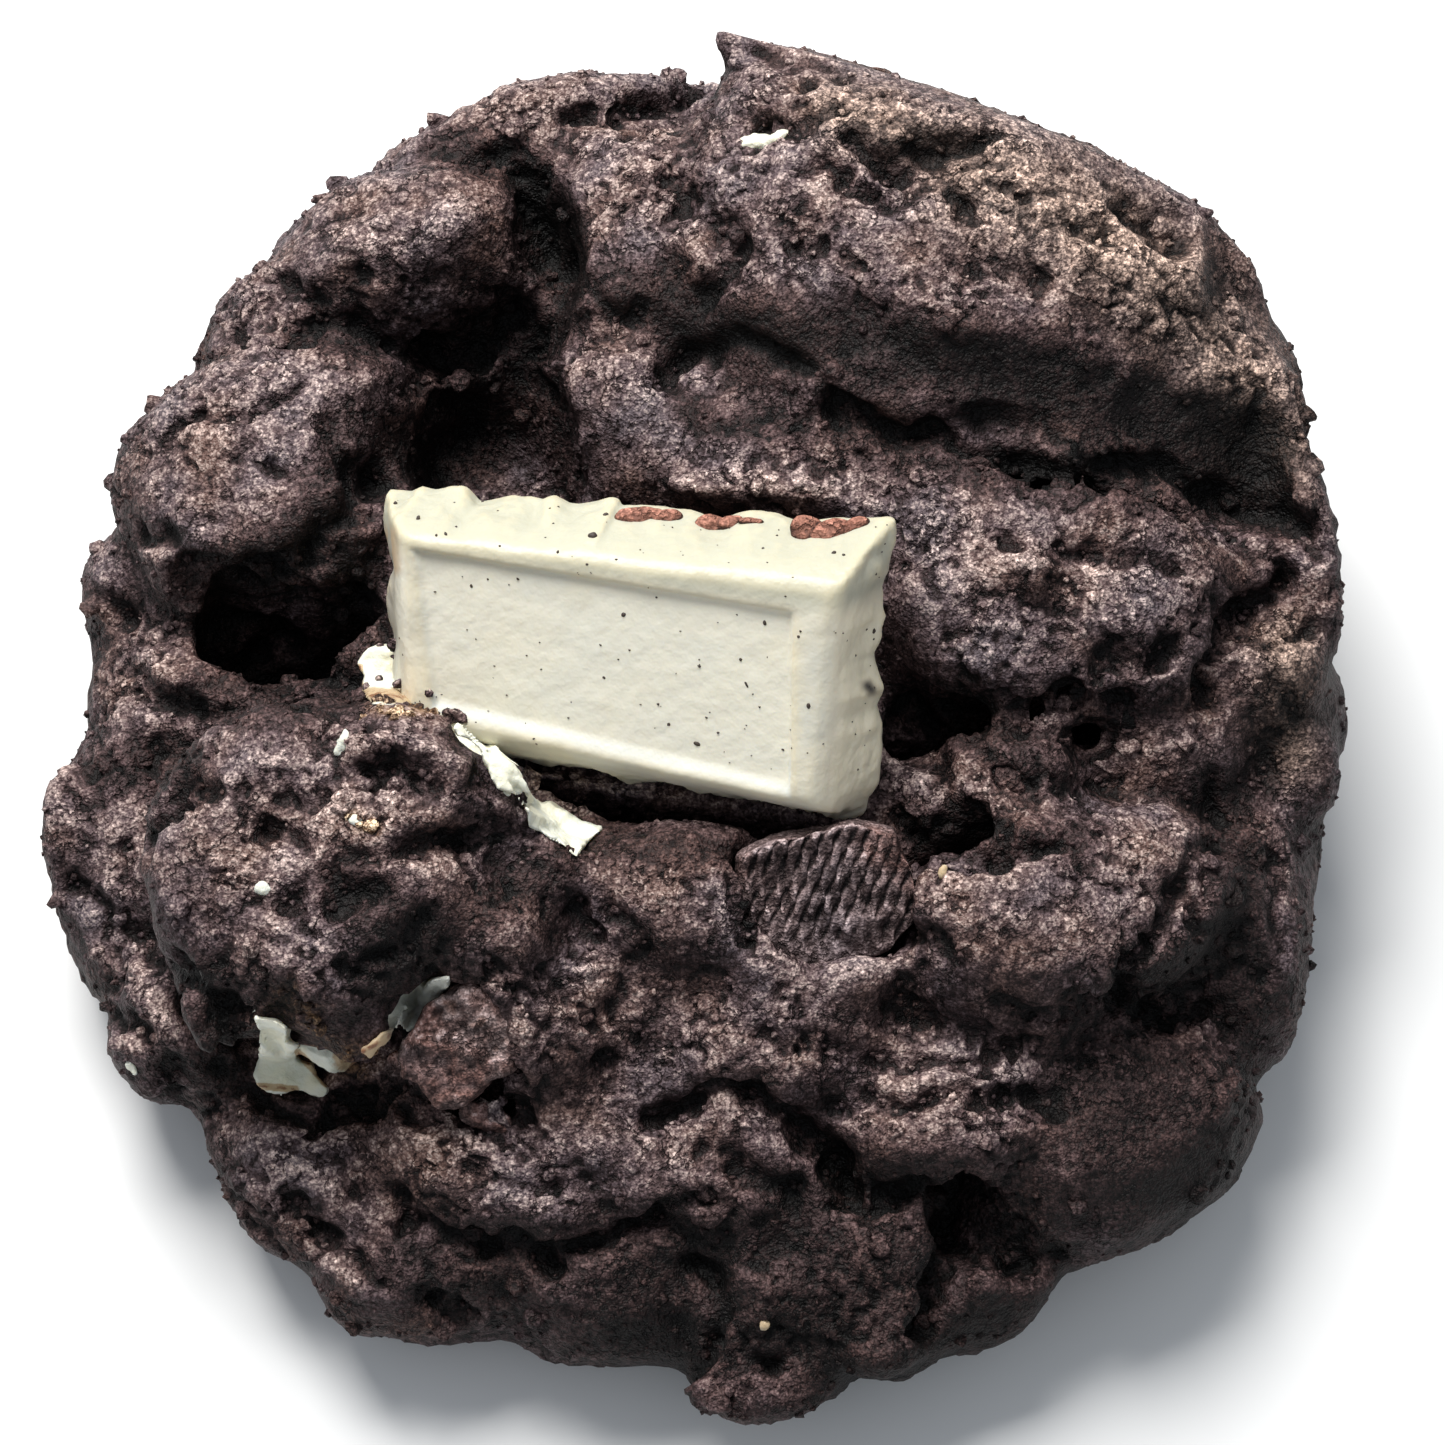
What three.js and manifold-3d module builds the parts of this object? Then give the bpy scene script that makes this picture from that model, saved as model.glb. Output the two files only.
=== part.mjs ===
// A thick, soft-baked cookie of very dark chocolate dough, heaped rather than rolled flat, with a
// moulded segment of white chocolate pressed into its top. A second white piece has sunk and melted
// under a lump of dough, and two bits of broken chocolate wafer show at the surface.
// Units are millimetres, +Z is up, -Y is the front, and the cookie rests on its flat underside.

import * as THREE from "three";
import { mergeVertices } from "three/addons/utils/BufferGeometryUtils.js";
import Module from "manifold-3d";

const wasm = await Module();
wasm.setup();

// ---------------------------------------------------------------- driving dimensions
const gap = 0.3; // clearance between the dough and what is pressed into it

const base = { radius: 41, edgeRadius: 43.5, edgeHeight: 5, shoulder: 11, height: 15 };
const core = { at: [0, 0, 5], half: [40, 40, 17], turn: [0, 0, 0] };
const rimRing = { radius: 37, lumps: 6, from: 18, to: 162, half: [12, 8, 9], height: 8 };

// The bar segment, about 35 mm long and 19 mm across. Its plan is given by corners in its own plane:
// far right, far left, near left and near right, with the middle of the segment at 0, 0.
const bar = {
  at: [-4.0, 0.3, 25.5],
  turn: [38.3, -5.7, -13.5],
  snapped: [[16.2, 12.4], [-19.4, 8.7], [-16.8, -9.3], [17.7, -8.9]], // where it broke off the bar
  rim: [[13.9, 8.5], [-15.9, 6.9], [-13.8, -6.0], [14.2, -6.5]], // outer edge of the raised rim
  panel: [[10.7, 5.9], [-14.2, 5.7], [-12.0, -3.7], [12.1, -5.0]], // the sunk field inside the rim
  depth: 1.4, // web below the snapped edge
  rise: 6, // snapped edge to rim
  panelDrop: 0.55,
  foot: 0.7, // height of the rounded lower edge
  footInset: 0.6,
  shoulder: 1.7, // where the side starts to bend over to the rim, below the rim's top
  shoulderShare: 0.68, // how far it has come in there, from the snapped outline to the rim's
  lip: 0.5,
  lipShare: 0.92,
  rimInside: 0.86, // the flat of the rim, as shares of the way from its outer edge to the panel
  rimOutside: 0.2,
  chip: { mean: 0.35, coarse: 0.3, coarseWave: 97, fine: 0.2, fineWave: 211, reach: 2.5 }, // along the break
};

const sunkenPiece = {
  at: [-22.3, -15.4, 20],
  turn: [-4, -25, 47],
  length: 28.5,
  width: 17.6,
  thickness: 5,
};

const ridgedWafer = {
  at: [8.5, -15.9, 22.6],
  turn: [31, -6, 8],
  length: 12,
  width: 9.6,
  thickness: 3,
  pitch: 1,
  ridge: 0.3,
};

const plainWafer = { at: [-15.6, -25.5, 20.2], turn: [17, -26, 37], length: 8.6, width: 6.8, thickness: 2.6 };

// How far the edge of each broken piece swings in and out, as a share of its size, and where the swing starts.
const broken = {
  sunken: { raggedness: 0.05, seed: 1.1, steps: 26 },
  ridged: { raggedness: 0.035, seed: 2.2, steps: 26 },
  plain: { raggedness: 0.06, seed: 0.7, steps: 20 },
};

// ---------------------------------------------------------------- lumps of dough
// Each lump is a swollen block: where its middle is, its half sizes, and its turns about X, Y and Z.
const lumps = [
  { name: "high crest", at: [18.6, 29, 22.4], half: [19.4, 14.6, 13.2], turn: [2, 6, -22], fullness: 3.3 },
  { name: "high crest, left end", at: [7.4, 36, 22], half: [8.2, 12.6, 12], turn: [4, -4, -12], fullness: 3.3 },
  { name: "high crest, right end", at: [31.4, 20, 17], half: [9.6, 12.4, 12.4], turn: [6, 12, -28] },
  { name: "crest foot", at: [19, 18.5, 20], half: [20, 5, 8.6], turn: [10, 4, -11] },
  { name: "right shoulder", at: [36, 12.5, 12], half: [8.2, 9.6, 12], turn: [0, 10, -14] },
  { name: "back middle lump", at: [-3.4, 32, 21], half: [9, 11, 9], turn: [6, 0, 10] },
  { name: "back left knob", at: [-20.8, 34.4, 17.6], half: [9.8, 7.6, 9.2], turn: [4, -14, 12] },
  { name: "far rim", at: [-9.4, 43, 15], half: [16, 5.6, 10.6], turn: [0, 4, 12] },
  { name: "left slope under the knob", at: [-27, 29, 13], half: [10.4, 8.6, 9.6], turn: [0, -16, 30] },
  { name: "left lump", at: [-31.4, 18.4, 15.6], half: [11.4, 9.4, 9.6], turn: [4, -14, 10] },
  { name: "left lump, upper ridge", at: [-28.4, 21.2, 18.6], half: [9.4, 4.6, 7.6], turn: [6, -10, 20] },
  { name: "left lump, lower ridge", at: [-29.4, 11.6, 17.6], half: [10.6, 5, 7.4], turn: [4, -8, 4], fullness: 3.2 },
  { name: "shelf behind the bar", at: [4, 17.5, 19], half: [14, 8, 8.6], turn: [8, 0, -8] },
  { name: "shelf, left lobe", at: [-6, 20.4, 21], half: [6.4, 5.4, 7.4], turn: [8, -10, 12] },
  { name: "shelf, middle", at: [6.5, 16, 22], half: [9.5, 6.4, 7], turn: [10, 0, -6] },
  { name: "shelf, right of the middle", at: [14, 13.4, 20.4], half: [8.6, 7, 7.6], turn: [8, 2, -12] },
  { name: "shelf, big lump", at: [24, 6.8, 20.8], half: [13.4, 10, 8.8], turn: [6, 4, -3] },
  { name: "shelf, right end", at: [35, 9.4, 16.6], half: [10, 7.6, 8.6], turn: [0, 16, -12] },
  { name: "right edge lump", at: [39.4, 1.6, 12.4], half: [6.2, 7.2, 8.4], turn: [0, 12, 10] },
  { name: "small lump by the right edge", at: [32, -3.4, 15.8], half: [6.6, 5.4, 7], turn: [8, 10, 14] },
  { name: "step lump", at: [20, -7.4, 17.4], half: [8, 5.4, 7.2], turn: [10, 0, 5] },
  { name: "front right lump", at: [23.6, -15.8, 16.8], half: [12.6, 8.6, 9.2], turn: [14, 8, 14] },
  { name: "right wall", at: [35.8, -12, 8.5], half: [7.4, 12.8, 10.4], turn: [0, 12, -8] },
  { name: "smooth front right lobe", at: [27.4, -26.8, 9.2], half: [11.6, 9.8, 9.4], turn: [10, 8, 26] },
  { name: "front slope", at: [2, -23, 9.6], half: [22, 14, 10.5], turn: [22, 0, 4] },
  { name: "lump left of the wafer", at: [-1.4, -14.8, 17.4], half: [9.4, 6.6, 7.8], turn: [14, 0, -8] },
  { name: "ridge, left", at: [-10.2, -22, 14.5], half: [11.2, 6.4, 8], turn: [18, -6, 14] },
  { name: "ridge, middle", at: [5.4, -22.8, 14.2], half: [11.4, 6.8, 8], turn: [18, 2, 10] },
  { name: "ridge, right", at: [17, -27.2, 12], half: [11.8, 7.2, 8.4], turn: [16, 6, 16] },
  { name: "low shelf, left", at: [-13.6, -30.8, 9.6], half: [10.8, 6.6, 7.6], turn: [16, -6, -14] },
  { name: "low shelf, right", at: [1.4, -31, 10.2], half: [11.4, 6.4, 7.8], turn: [16, 0, 8] },
  { name: "lump over the sunken piece", at: [-25.4, -13.6, 19.6], half: [12.4, 11.6, 10.8], turn: [8, -12, 30] },
  { name: "knob beside the bar", at: [-19.2, -10, 25], half: [6.6, 6, 6.8], turn: [10, 0, -10] },
  { name: "lap over the sunken piece's side", at: [-14.2, -17, 18.6], half: [7.4, 5.2, 7.4], turn: [14, 14, -50] },
  { name: "left low lump", at: [-33.6, 3.2, 9.4], half: [11.4, 8, 8.4], turn: [0, -10, 0] },
  { name: "left edge lump", at: [-39.6, 11.2, 9], half: [5.4, 5.4, 7.4], turn: [0, -8, 10] },
  { name: "left foot", at: [-39.6, -8, 7], half: [6.4, 10.4, 9], turn: [0, -6, 4] },
  { name: "front left foot", at: [-33.4, -18.8, 8], half: [8.2, 7, 9], turn: [6, -6, 30] },
  { name: "front foot, far left", at: [-26, -29.6, 6.6], half: [7.2, 7.6, 7.4], turn: [8, 0, 24] },
  { name: "front foot, left", at: [-17.8, -35, 5.8], half: [9, 8, 7.2], turn: [8, 0, 14] },
  { name: "front foot, middle", at: [-5.8, -36.8, 5.8], half: [8.6, 7.8, 7.4], turn: [8, 0, 0] },
  { name: "front foot, nearest", at: [5.6, -39, 6.4], half: [7.4, 8.4, 7.6], turn: [10, 0, -4] },
  { name: "front foot, beside it", at: [11.8, -36.8, 7.4], half: [7.4, 8.4, 8.2], turn: [10, 0, -16] },
  { name: "front foot, right", at: [17.4, -35.4, 6.4], half: [7.6, 7.6, 7.2], turn: [8, 0, -26] },
];

// Open hollows and clefts between the lumps, taken out after the lumps are joined.
const hollows = [
  { name: "deep hollow behind the bar", at: [-14.2, 18.8, 20], half: [6.6, 7.4, 9], turn: [0, 0, 8] },
  { name: "cleft behind the hollow", at: [-12.2, 26.4, 26], half: [3, 4.6, 8], turn: [0, 0, -14] },
  { name: "cleft up to the far rim", at: [-11, 33, 27.5], half: [2.2, 5.4, 7], turn: [0, 0, 16] },
  { name: "hole left of the bar", at: [-28.4, 4.8, 14.5], half: [7.6, 2.8, 7.5], turn: [-14, 0, 0] },
  { name: "cleft under the high crest", at: [20, 13.4, 27.5], half: [18, 1.2, 4.5], turn: [-35, 0, -11] },
  { name: "cleft under the big lump", at: [23, -3.2, 18], half: [11.5, 1.5, 6.5], turn: [-20, 0, 5] },
  { name: "cleft under the small lumps", at: [32, 1.5, 17], half: [8, 1, 5], turn: [-20, 0, 30] },
  { name: "cleft under the step lump", at: [19.5, -12.6, 19.5], half: [7.5, 1, 5], turn: [-20, 0, 6] },
  { name: "cleft under the bar", at: [-1, -10.4, 18], half: [12, 1.6, 6], turn: [-20, 0, -12] },
  { name: "cleft under the ridges", at: [-10, -27.8, 14], half: [9, 1, 5], turn: [-20, 0, 8] },
  { name: "arched cleft above the low shelf", at: [4, -27.4, 15], half: [6, 1.1, 5], turn: [-20, 0, -16] },
  { name: "cleft under the front right lump", at: [25, -22.6, 14], half: [11, 1.1, 5.5], turn: [-20, 0, 20] },
  { name: "cleft above the smooth lobe", at: [33, -21.2, 12], half: [7, 1, 6], turn: [-20, 0, 4] },
  { name: "cleft behind the sunken piece's lump", at: [-31, -3.4, 15], half: [9, 1, 6], turn: [-10, 0, 24] },
];

// ---------------------------------------------------------------- making solids
const radians = THREE.MathUtils.degToRad;

// Joins a geometry's seams, so that each corner is there once and can be moved on its own.
function closed(geometry) {
  geometry.deleteAttribute("normal");
  geometry.deleteAttribute("uv");
  return mergeVertices(geometry, 1e-3);
}

// A closed solid from a joined geometry, without the empty faces at its poles.
function solidFrom(geometry) {
  const corners = geometry.index.array;
  const faces = [];
  for (let i = 0; i < corners.length; i += 3) {
    const [a, b, c] = corners.slice(i, i + 3);
    if (a !== b && b !== c && c !== a) faces.push(a, b, c);
  }
  return new wasm.Manifold(
    new wasm.Mesh({
      numProp: 3,
      vertProperties: Float32Array.from(geometry.attributes.position.array),
      triVerts: Uint32Array.from(faces),
    }),
  );
}

function geometryFrom(solid) {
  const mesh = solid.getMesh();
  const geometry = new THREE.BufferGeometry();
  geometry.setAttribute("position", new THREE.BufferAttribute(mesh.vertProperties, 3));
  geometry.setIndex(new THREE.BufferAttribute(mesh.triVerts, 1));
  return geometry;
}

// Moves every corner of a geometry by a rule that takes and returns a Vector3.
function reshape(geometry, rule) {
  const points = geometry.attributes.position;
  const point = new THREE.Vector3();
  for (let i = 0; i < points.count; i += 1) {
    point.fromBufferAttribute(points, i);
    const moved = rule(point);
    points.setXYZ(i, moved.x, moved.y, moved.z);
  }
  return geometry;
}

// Rolls a piece about its own length, pitches it, swings it round, and moves it to its place.
function placed(geometry, { at, turn }) {
  const [roll, pitch, swing] = turn.map(radians);
  const turned = new THREE.Euler(roll, pitch, swing, "ZYX");
  geometry.applyMatrix4(new THREE.Matrix4().makeRotationFromEuler(turned));
  return geometry.translate(...at);
}

// Slow waves across the dough that keep any two lumps from looking alike.
function unevenness(x, y, z, scale) {
  const a = Math.sin(x / scale + 1.7 * Math.sin(y / scale));
  const b = Math.sin(y / scale - 1.3 * Math.sin(z / scale) + 2.1);
  const c = Math.sin(z / scale + 1.1 * Math.sin(x / scale) + 4.2);
  return (a + b + c) / 3;
}

// A swollen block of dough: a ball squared off by `fullness` and dented by the unevenness.
function lump({ at, half, turn, fullness = 2.7 }, detail = 2, dent = 0.13) {
  const geometry = closed(new THREE.IcosahedronGeometry(1, detail));
  const waveLength = 2.6;
  reshape(geometry, (p) => {
    const norm = Math.abs(p.x) ** fullness + Math.abs(p.y) ** fullness + Math.abs(p.z) ** fullness;
    p.multiplyScalar(norm ** (-1 / fullness));
    p.multiply(new THREE.Vector3(...half));
    const wave = unevenness(p.x + at[0], p.y + at[1], p.z + at[2], waveLength);
    return p.multiplyScalar(1 + dent * wave);
  });
  return solidFrom(placed(geometry, { at, turn }));
}

// A point on a four-cornered outline, from 0 to 1 the way round it from its first corner.
function planPoint(corners, fraction) {
  const longShare = 18 / 56; // share of the steps on each long side
  const shares = [longShare, 0.5 - longShare, longShare, 0.5 - longShare];
  let left = fraction;
  let side = 0;
  while (side < 3 && left > shares[side]) {
    left -= shares[side];
    side += 1;
  }
  const along = left / shares[side];
  const [x0, y0] = corners[side];
  const [x1, y1] = corners[(side + 1) % 4];
  return [x0 + (x1 - x0) * along, y0 + (y1 - y0) * along];
}

// The moulded segment: drafted sides, a rounded shoulder, a raised rim and a bare sunk panel.
// It is turned as a lathe whose radius counts the rings from the middle out; then each ring takes its
// plan, which lies between two of the named outlines and is drawn in by its inset.
function barSegment(grow = 0) {
  const steps = 56;
  const top = bar.rise + grow;
  const floor = -bar.depth - grow;
  const panel = top - (grow > 0 ? 0 : bar.panelDrop);
  const rings = [
    { from: bar.snapped, to: bar.snapped, share: 0, inset: bar.footInset, z: floor },
    { from: bar.snapped, to: bar.snapped, share: 0, inset: 0, z: floor + bar.foot },
    { from: bar.snapped, to: bar.snapped, share: 0, inset: 0, z: 0 },
    { from: bar.snapped, to: bar.rim, share: bar.shoulderShare, inset: 0, z: top - bar.shoulder },
    { from: bar.snapped, to: bar.rim, share: bar.lipShare, inset: 0, z: top - bar.lip },
    { from: bar.rim, to: bar.panel, share: bar.rimOutside, inset: 0, z: top },
    { from: bar.rim, to: bar.panel, share: bar.rimInside, inset: 0, z: top },
    { from: bar.rim, to: bar.panel, share: 1, inset: 0, z: panel },
  ];
  const radii = rings.map((ring, i) => rings.length - i);
  const profile = [[0, floor], ...rings.map((ring, i) => [radii[i], ring.z]), [0, panel]];
  const geometry = closed(new THREE.LatheGeometry(profile.map(([r, z]) => new THREE.Vector2(r, z)), steps));
  reshape(geometry, (p) => {
    // the lathe turns about Y: its angle becomes the way round the plan
    const angle = Math.atan2(p.x, p.z);
    const fraction = (Math.round((angle / (2 * Math.PI)) * steps) / steps + 1) % 1;
    const place = Math.round(rings.length - Math.hypot(p.x, p.z));
    if (place >= rings.length) return new THREE.Vector3(0, 0, p.y);
    const { from, to, share, inset, z } = rings[place];
    const { mean, coarse, coarseWave, fine, fineWave, reach } = bar.chip;
    const snapped = grow > 0 ? 0 : Math.max(0, 1 - Math.abs(z) / reach);
    const chips = mean - coarse * Math.sin(fraction * coarseWave) - fine * Math.sin(fraction * fineWave + 1);
    const drawnIn = inset - grow + chips * snapped;
    const plan = from.map(([x, y], i) => {
      const [x1, y1] = to[i];
      const corner = [x + (x1 - x) * share, y + (y1 - y) * share];
      return corner.map((value) => value - Math.sign(value) * drawnIn);
    });
    return new THREE.Vector3(...planPoint(plan, fraction), z);
  });
  return solidFrom(placed(geometry, bar));
}

// A flat piece with an uneven outline and rounded edges, used for the sunken piece and the wafers.
function flatPiece(size, grow, { raggedness, seed, steps }) {
  const halfThickness = size.thickness / 2 + grow;
  const edge = Math.min(1.1, halfThickness * 0.7); // its rounding, up and down
  const trim = 0.6 * edge; // and inward
  const squareness = 3.2; // 2 would be an oval
  const rings = [
    [0, -halfThickness],
    [0.5, -halfThickness],
    [1, -halfThickness, trim],
    [1, -halfThickness + edge],
    [1, halfThickness - edge],
    [1, halfThickness, trim],
    [0.5, halfThickness],
    [0, halfThickness],
  ];
  const reach = 10;
  const profile = rings.map(([share, z, inward = 0]) => new THREE.Vector2(share * reach - inward, z));
  const geometry = closed(new THREE.LatheGeometry(profile, steps));
  reshape(geometry, (p) => {
    const angle = Math.atan2(p.x, p.z);
    const share = Math.hypot(p.x, p.z) / reach;
    const cos = Math.cos(angle);
    const sin = Math.sin(angle);
    const squared = (Math.abs(cos) ** squareness + Math.abs(sin) ** squareness) ** (-1 / squareness);
    const ragged = 1 + raggedness * (Math.sin(angle * 5 + seed) + 0.6 * Math.sin(angle * 11 + seed * 3));
    const radius = share * squared * ragged;
    return new THREE.Vector3(
      cos * radius * (size.length / 2 + grow),
      sin * radius * (size.width / 2 + grow),
      p.y,
    );
  });
  return solidFrom(placed(geometry, size));
}

// The ridged wafer: a flat piece whose upper side is pressed into ribs that run across it.
function ridgedPiece() {
  const { length, width, thickness, pitch, ridge } = ridgedWafer;
  const ribs = Math.round(length / pitch);
  const face = new THREE.Shape();
  face.moveTo(-length / 2, -thickness / 2);
  face.lineTo(length / 2, -thickness / 2);
  for (let i = 0; i <= ribs * 2; i += 1) {
    const x = length / 2 - (i * length) / (ribs * 2);
    face.lineTo(x, thickness / 2 - (i % 2 ? ridge : 0));
  }
  const blank = closed(new THREE.ExtrudeGeometry(face, { depth: width, bevelEnabled: false }));
  blank.translate(0, 0, -width / 2);
  blank.rotateX(Math.PI / 2);
  const ribbed = solidFrom(placed(blank, ridgedWafer));
  const outline = flatPiece({ ...ridgedWafer, thickness: thickness + 2, width: width - 0.4 }, 0, broken.ridged);
  return ribbed.intersect(outline);
}

// ---------------------------------------------------------------- the dough
// The baked dough is one body, so the small spaces shut in between lumps and loose slivers are dropped.
function outerSkin(solid) {
  return solid.decompose().reduce((most, piece) => (piece.volume() > most.volume() ? piece : most));
}

function baseDisc() {
  const profile = [
    [0, 0],
    [base.radius - 2.5, 0],
    [base.radius, 1.2],
    [base.edgeRadius, base.edgeHeight],
    [base.radius, base.shoulder],
    [base.radius - 7, base.height],
    [0, base.height],
  ].map(([r, z]) => new THREE.Vector2(r, z));
  const disc = closed(new THREE.LatheGeometry(profile, 36));
  disc.rotateX(Math.PI / 2);
  reshape(disc, (p) => {
    const wave = 1 + 0.02 * Math.sin(5 * Math.atan2(p.y, p.x)) + 0.015 * Math.sin(9 * Math.atan2(p.y, p.x) + 2);
    return new THREE.Vector3(p.x * wave, p.y * wave, p.z);
  });
  return solidFrom(disc);
}

// The far and right-hand rim is a run of like lumps, set out by angle.
function rimLumps() {
  const ring = [];
  for (let i = 0; i < rimRing.lumps; i += 1) {
    const angle = THREE.MathUtils.lerp(rimRing.from, rimRing.to, i / (rimRing.lumps - 1));
    const reach = rimRing.radius + 1.4 * Math.sin(i * 2.4);
    const size = 1 + 0.1 * Math.sin(i * 1.9 + 1);
    ring.push({
      name: `rim lump ${i + 1}`,
      at: [reach * Math.cos(radians(angle)), reach * Math.sin(radians(angle)), rimRing.height],
      half: rimRing.half.map((h) => h * size),
      turn: [0, 0, angle - 90],
    });
  }
  return ring;
}

function doughSolid(pressedIn) {
  let dough = baseDisc().add(lump(core, 2));
  for (const piece of rimLumps()) dough = dough.add(lump(piece, 1));
  for (const piece of lumps) dough = dough.add(lump(piece, Math.max(...piece.half) > 12 ? 2 : 1));
  for (const hollow of hollows) dough = dough.subtract(lump(hollow, 1));
  for (const cutter of pressedIn) dough = dough.subtract(cutter);
  const room = 200;
  const table = closed(new THREE.BoxGeometry(room, room, room).translate(0, 0, room / 2));
  return outerSkin(dough.intersect(solidFrom(table)));
}

// ---------------------------------------------------------------- the group
const barSolid = barSegment();
const ridgedSolid = ridgedPiece().subtract(barSegment(gap));
const plainSolid = flatPiece(plainWafer, 0, broken.plain).subtract(flatPiece(sunkenPiece, gap, broken.sunken));
const sunkenSolid = flatPiece(sunkenPiece, 0, broken.sunken).subtract(barSegment(gap));
const doughPart = doughSolid([
  barSegment(gap),
  flatPiece(sunkenPiece, gap, broken.sunken),
  flatPiece(ridgedWafer, gap, broken.ridged),
  flatPiece(plainWafer, gap, broken.plain),
]);

const finishes = {
  dough: new THREE.MeshStandardMaterial({ color: 0x2c2223, roughness: 0.95, metalness: 0 }),
  bar_segment: new THREE.MeshStandardMaterial({ color: 0xe4dec4, roughness: 0.42, metalness: 0 }),
  sunken_white_piece: new THREE.MeshStandardMaterial({ color: 0xc9ccbe, roughness: 0.5, metalness: 0 }),
  ridged_wafer: new THREE.MeshStandardMaterial({ color: 0x3a3136, roughness: 0.85, metalness: 0 }),
  plain_wafer: new THREE.MeshStandardMaterial({ color: 0x4b3533, roughness: 0.85, metalness: 0 }),
};

const cookie = new THREE.Group();
const solids = {
  dough: doughPart,
  bar_segment: barSolid,
  sunken_white_piece: sunkenSolid,
  ridged_wafer: ridgedSolid,
  plain_wafer: plainSolid,
};
for (const [name, solid] of Object.entries(solids)) {
  const mesh = new THREE.Mesh(geometryFrom(solid), finishes[name]);
  mesh.name = name;
  cookie.add(mesh);
}

// The origin is under the middle of the whole cookie, on the surface that it rests on.
const outer = new THREE.Box3().setFromObject(cookie);
const middle = outer.getCenter(new THREE.Vector3());
cookie.position.set(-middle.x, -middle.y, -outer.min.z);

const part = new THREE.Group();
part.add(cookie);
export default part;
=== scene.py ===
import math

import bmesh
import bpy
import numpy as np
from mathutils import Matrix, Vector, noise
from mathutils.bvhtree import BVHTree


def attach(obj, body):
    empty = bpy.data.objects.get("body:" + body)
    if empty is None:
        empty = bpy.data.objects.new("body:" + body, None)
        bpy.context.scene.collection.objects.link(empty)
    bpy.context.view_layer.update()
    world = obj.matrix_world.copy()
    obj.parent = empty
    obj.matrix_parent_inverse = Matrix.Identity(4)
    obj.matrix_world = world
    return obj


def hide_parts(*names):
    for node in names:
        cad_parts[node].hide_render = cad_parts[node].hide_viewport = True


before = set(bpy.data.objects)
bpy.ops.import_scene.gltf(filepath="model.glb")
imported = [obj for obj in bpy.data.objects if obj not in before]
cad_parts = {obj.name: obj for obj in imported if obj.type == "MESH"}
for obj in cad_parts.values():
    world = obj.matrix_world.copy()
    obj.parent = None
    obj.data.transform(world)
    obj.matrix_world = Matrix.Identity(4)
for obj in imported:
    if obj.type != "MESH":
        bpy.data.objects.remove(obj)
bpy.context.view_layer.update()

# ---------------------------------------------------------------- camera
# A short telephoto looks down on the cookie from the front, 68 degrees above the table. It comes
# first, because the dough's cracks and crumbs are set out by where they lie as seen from it.
mm = 0.001
look_at = Vector((-0.01, -1.05, 14)) * mm
rise = math.radians(68)
distance = 240 * mm
to_camera = Vector((0, -math.cos(rise), math.sin(rise)))
to_right = Vector((1, 0, 0))
to_top = Vector((0, math.sin(rise), math.cos(rise)))

lens = bpy.data.cameras.new("camera")
lens.sensor_width = 36
lens.lens = 84.3
lens.shift_x = 0.0166
lens.clip_start = 10 * mm
lens.dof.use_dof = False
camera = bpy.data.objects.new("camera", lens)
camera.location = look_at + to_camera * distance
camera.rotation_euler = (math.pi / 2 - rise, 0, 0)
bpy.context.scene.collection.objects.link(camera)
bpy.context.scene.camera = camera


def facing(points):
    """Where points, in metres, lie right of and above look_at in the view plane, in mm."""
    offset = np.asarray(points, float) - np.array(look_at)
    nearer = 1 - offset @ np.array(to_camera) / distance
    return offset @ np.array(to_right) / nearer / mm, offset @ np.array(to_top) / nearer / mm


# ---------------------------------------------------------------- dough
# Very dark, soft-baked dough of cocoa and flour, heaped by hand and torn as it rose: swollen lumps
# with deep clefts between them, over a flat underside that baked against the tray.
def copy_of(node):
    """A piece of its own with a CAD node's shape, its loose faces joined."""
    piece = bpy.data.objects.new(node + "_looks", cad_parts[node].data.copy())
    bpy.context.scene.collection.objects.link(piece)
    weld = piece.modifiers.new("weld", "WELD")
    weld.merge_threshold = 0.001 * mm
    return settled(piece)


def settled(piece):
    """Turns what a piece's modifiers make into its plain mesh."""
    bpy.context.view_layer.update()
    made = bpy.data.meshes.new_from_object(piece.evaluated_get(bpy.context.evaluated_depsgraph_get()))
    piece.modifiers.clear()
    piece.data = made
    return piece


def remeshed(piece, voxel):
    """Makes a piece's mesh even, with faces as large as one voxel."""
    even = piece.modifiers.new("even faces", "REMESH")
    even.mode = "VOXEL"
    even.voxel_size = voxel
    return settled(piece)


def smoothed(piece, rounds):
    """Softens a piece's edges."""
    even = piece.modifiers.new("soften", "SMOOTH")
    even.factor, even.iterations = 0.5, rounds
    return settled(piece)


def read(piece, what="vertices", name="co"):
    """The places of a piece's vertices, or another vector of each, in rows of three."""
    items = getattr(piece.data, what)
    flat = np.empty(3 * len(items))
    items.foreach_get(name, flat)
    return flat.reshape(-1, 3)


def reshaped(piece, places):
    """Puts a piece's vertices at new places."""
    piece.data.vertices.foreach_set("co", places.ravel())
    return piece


def lumpy(places, feature, kind=noise.noise):
    """Noise from about -1 to 1 at some places, in lumps as wide as feature."""
    return np.array([kind(Vector(place) / feature) for place in places])


def eased(share):
    """A smooth step from 0 to 1 as share goes from 0 to 1."""
    share = np.clip(share, 0, 1)
    return share * share * (3 - 2 * share)


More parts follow.
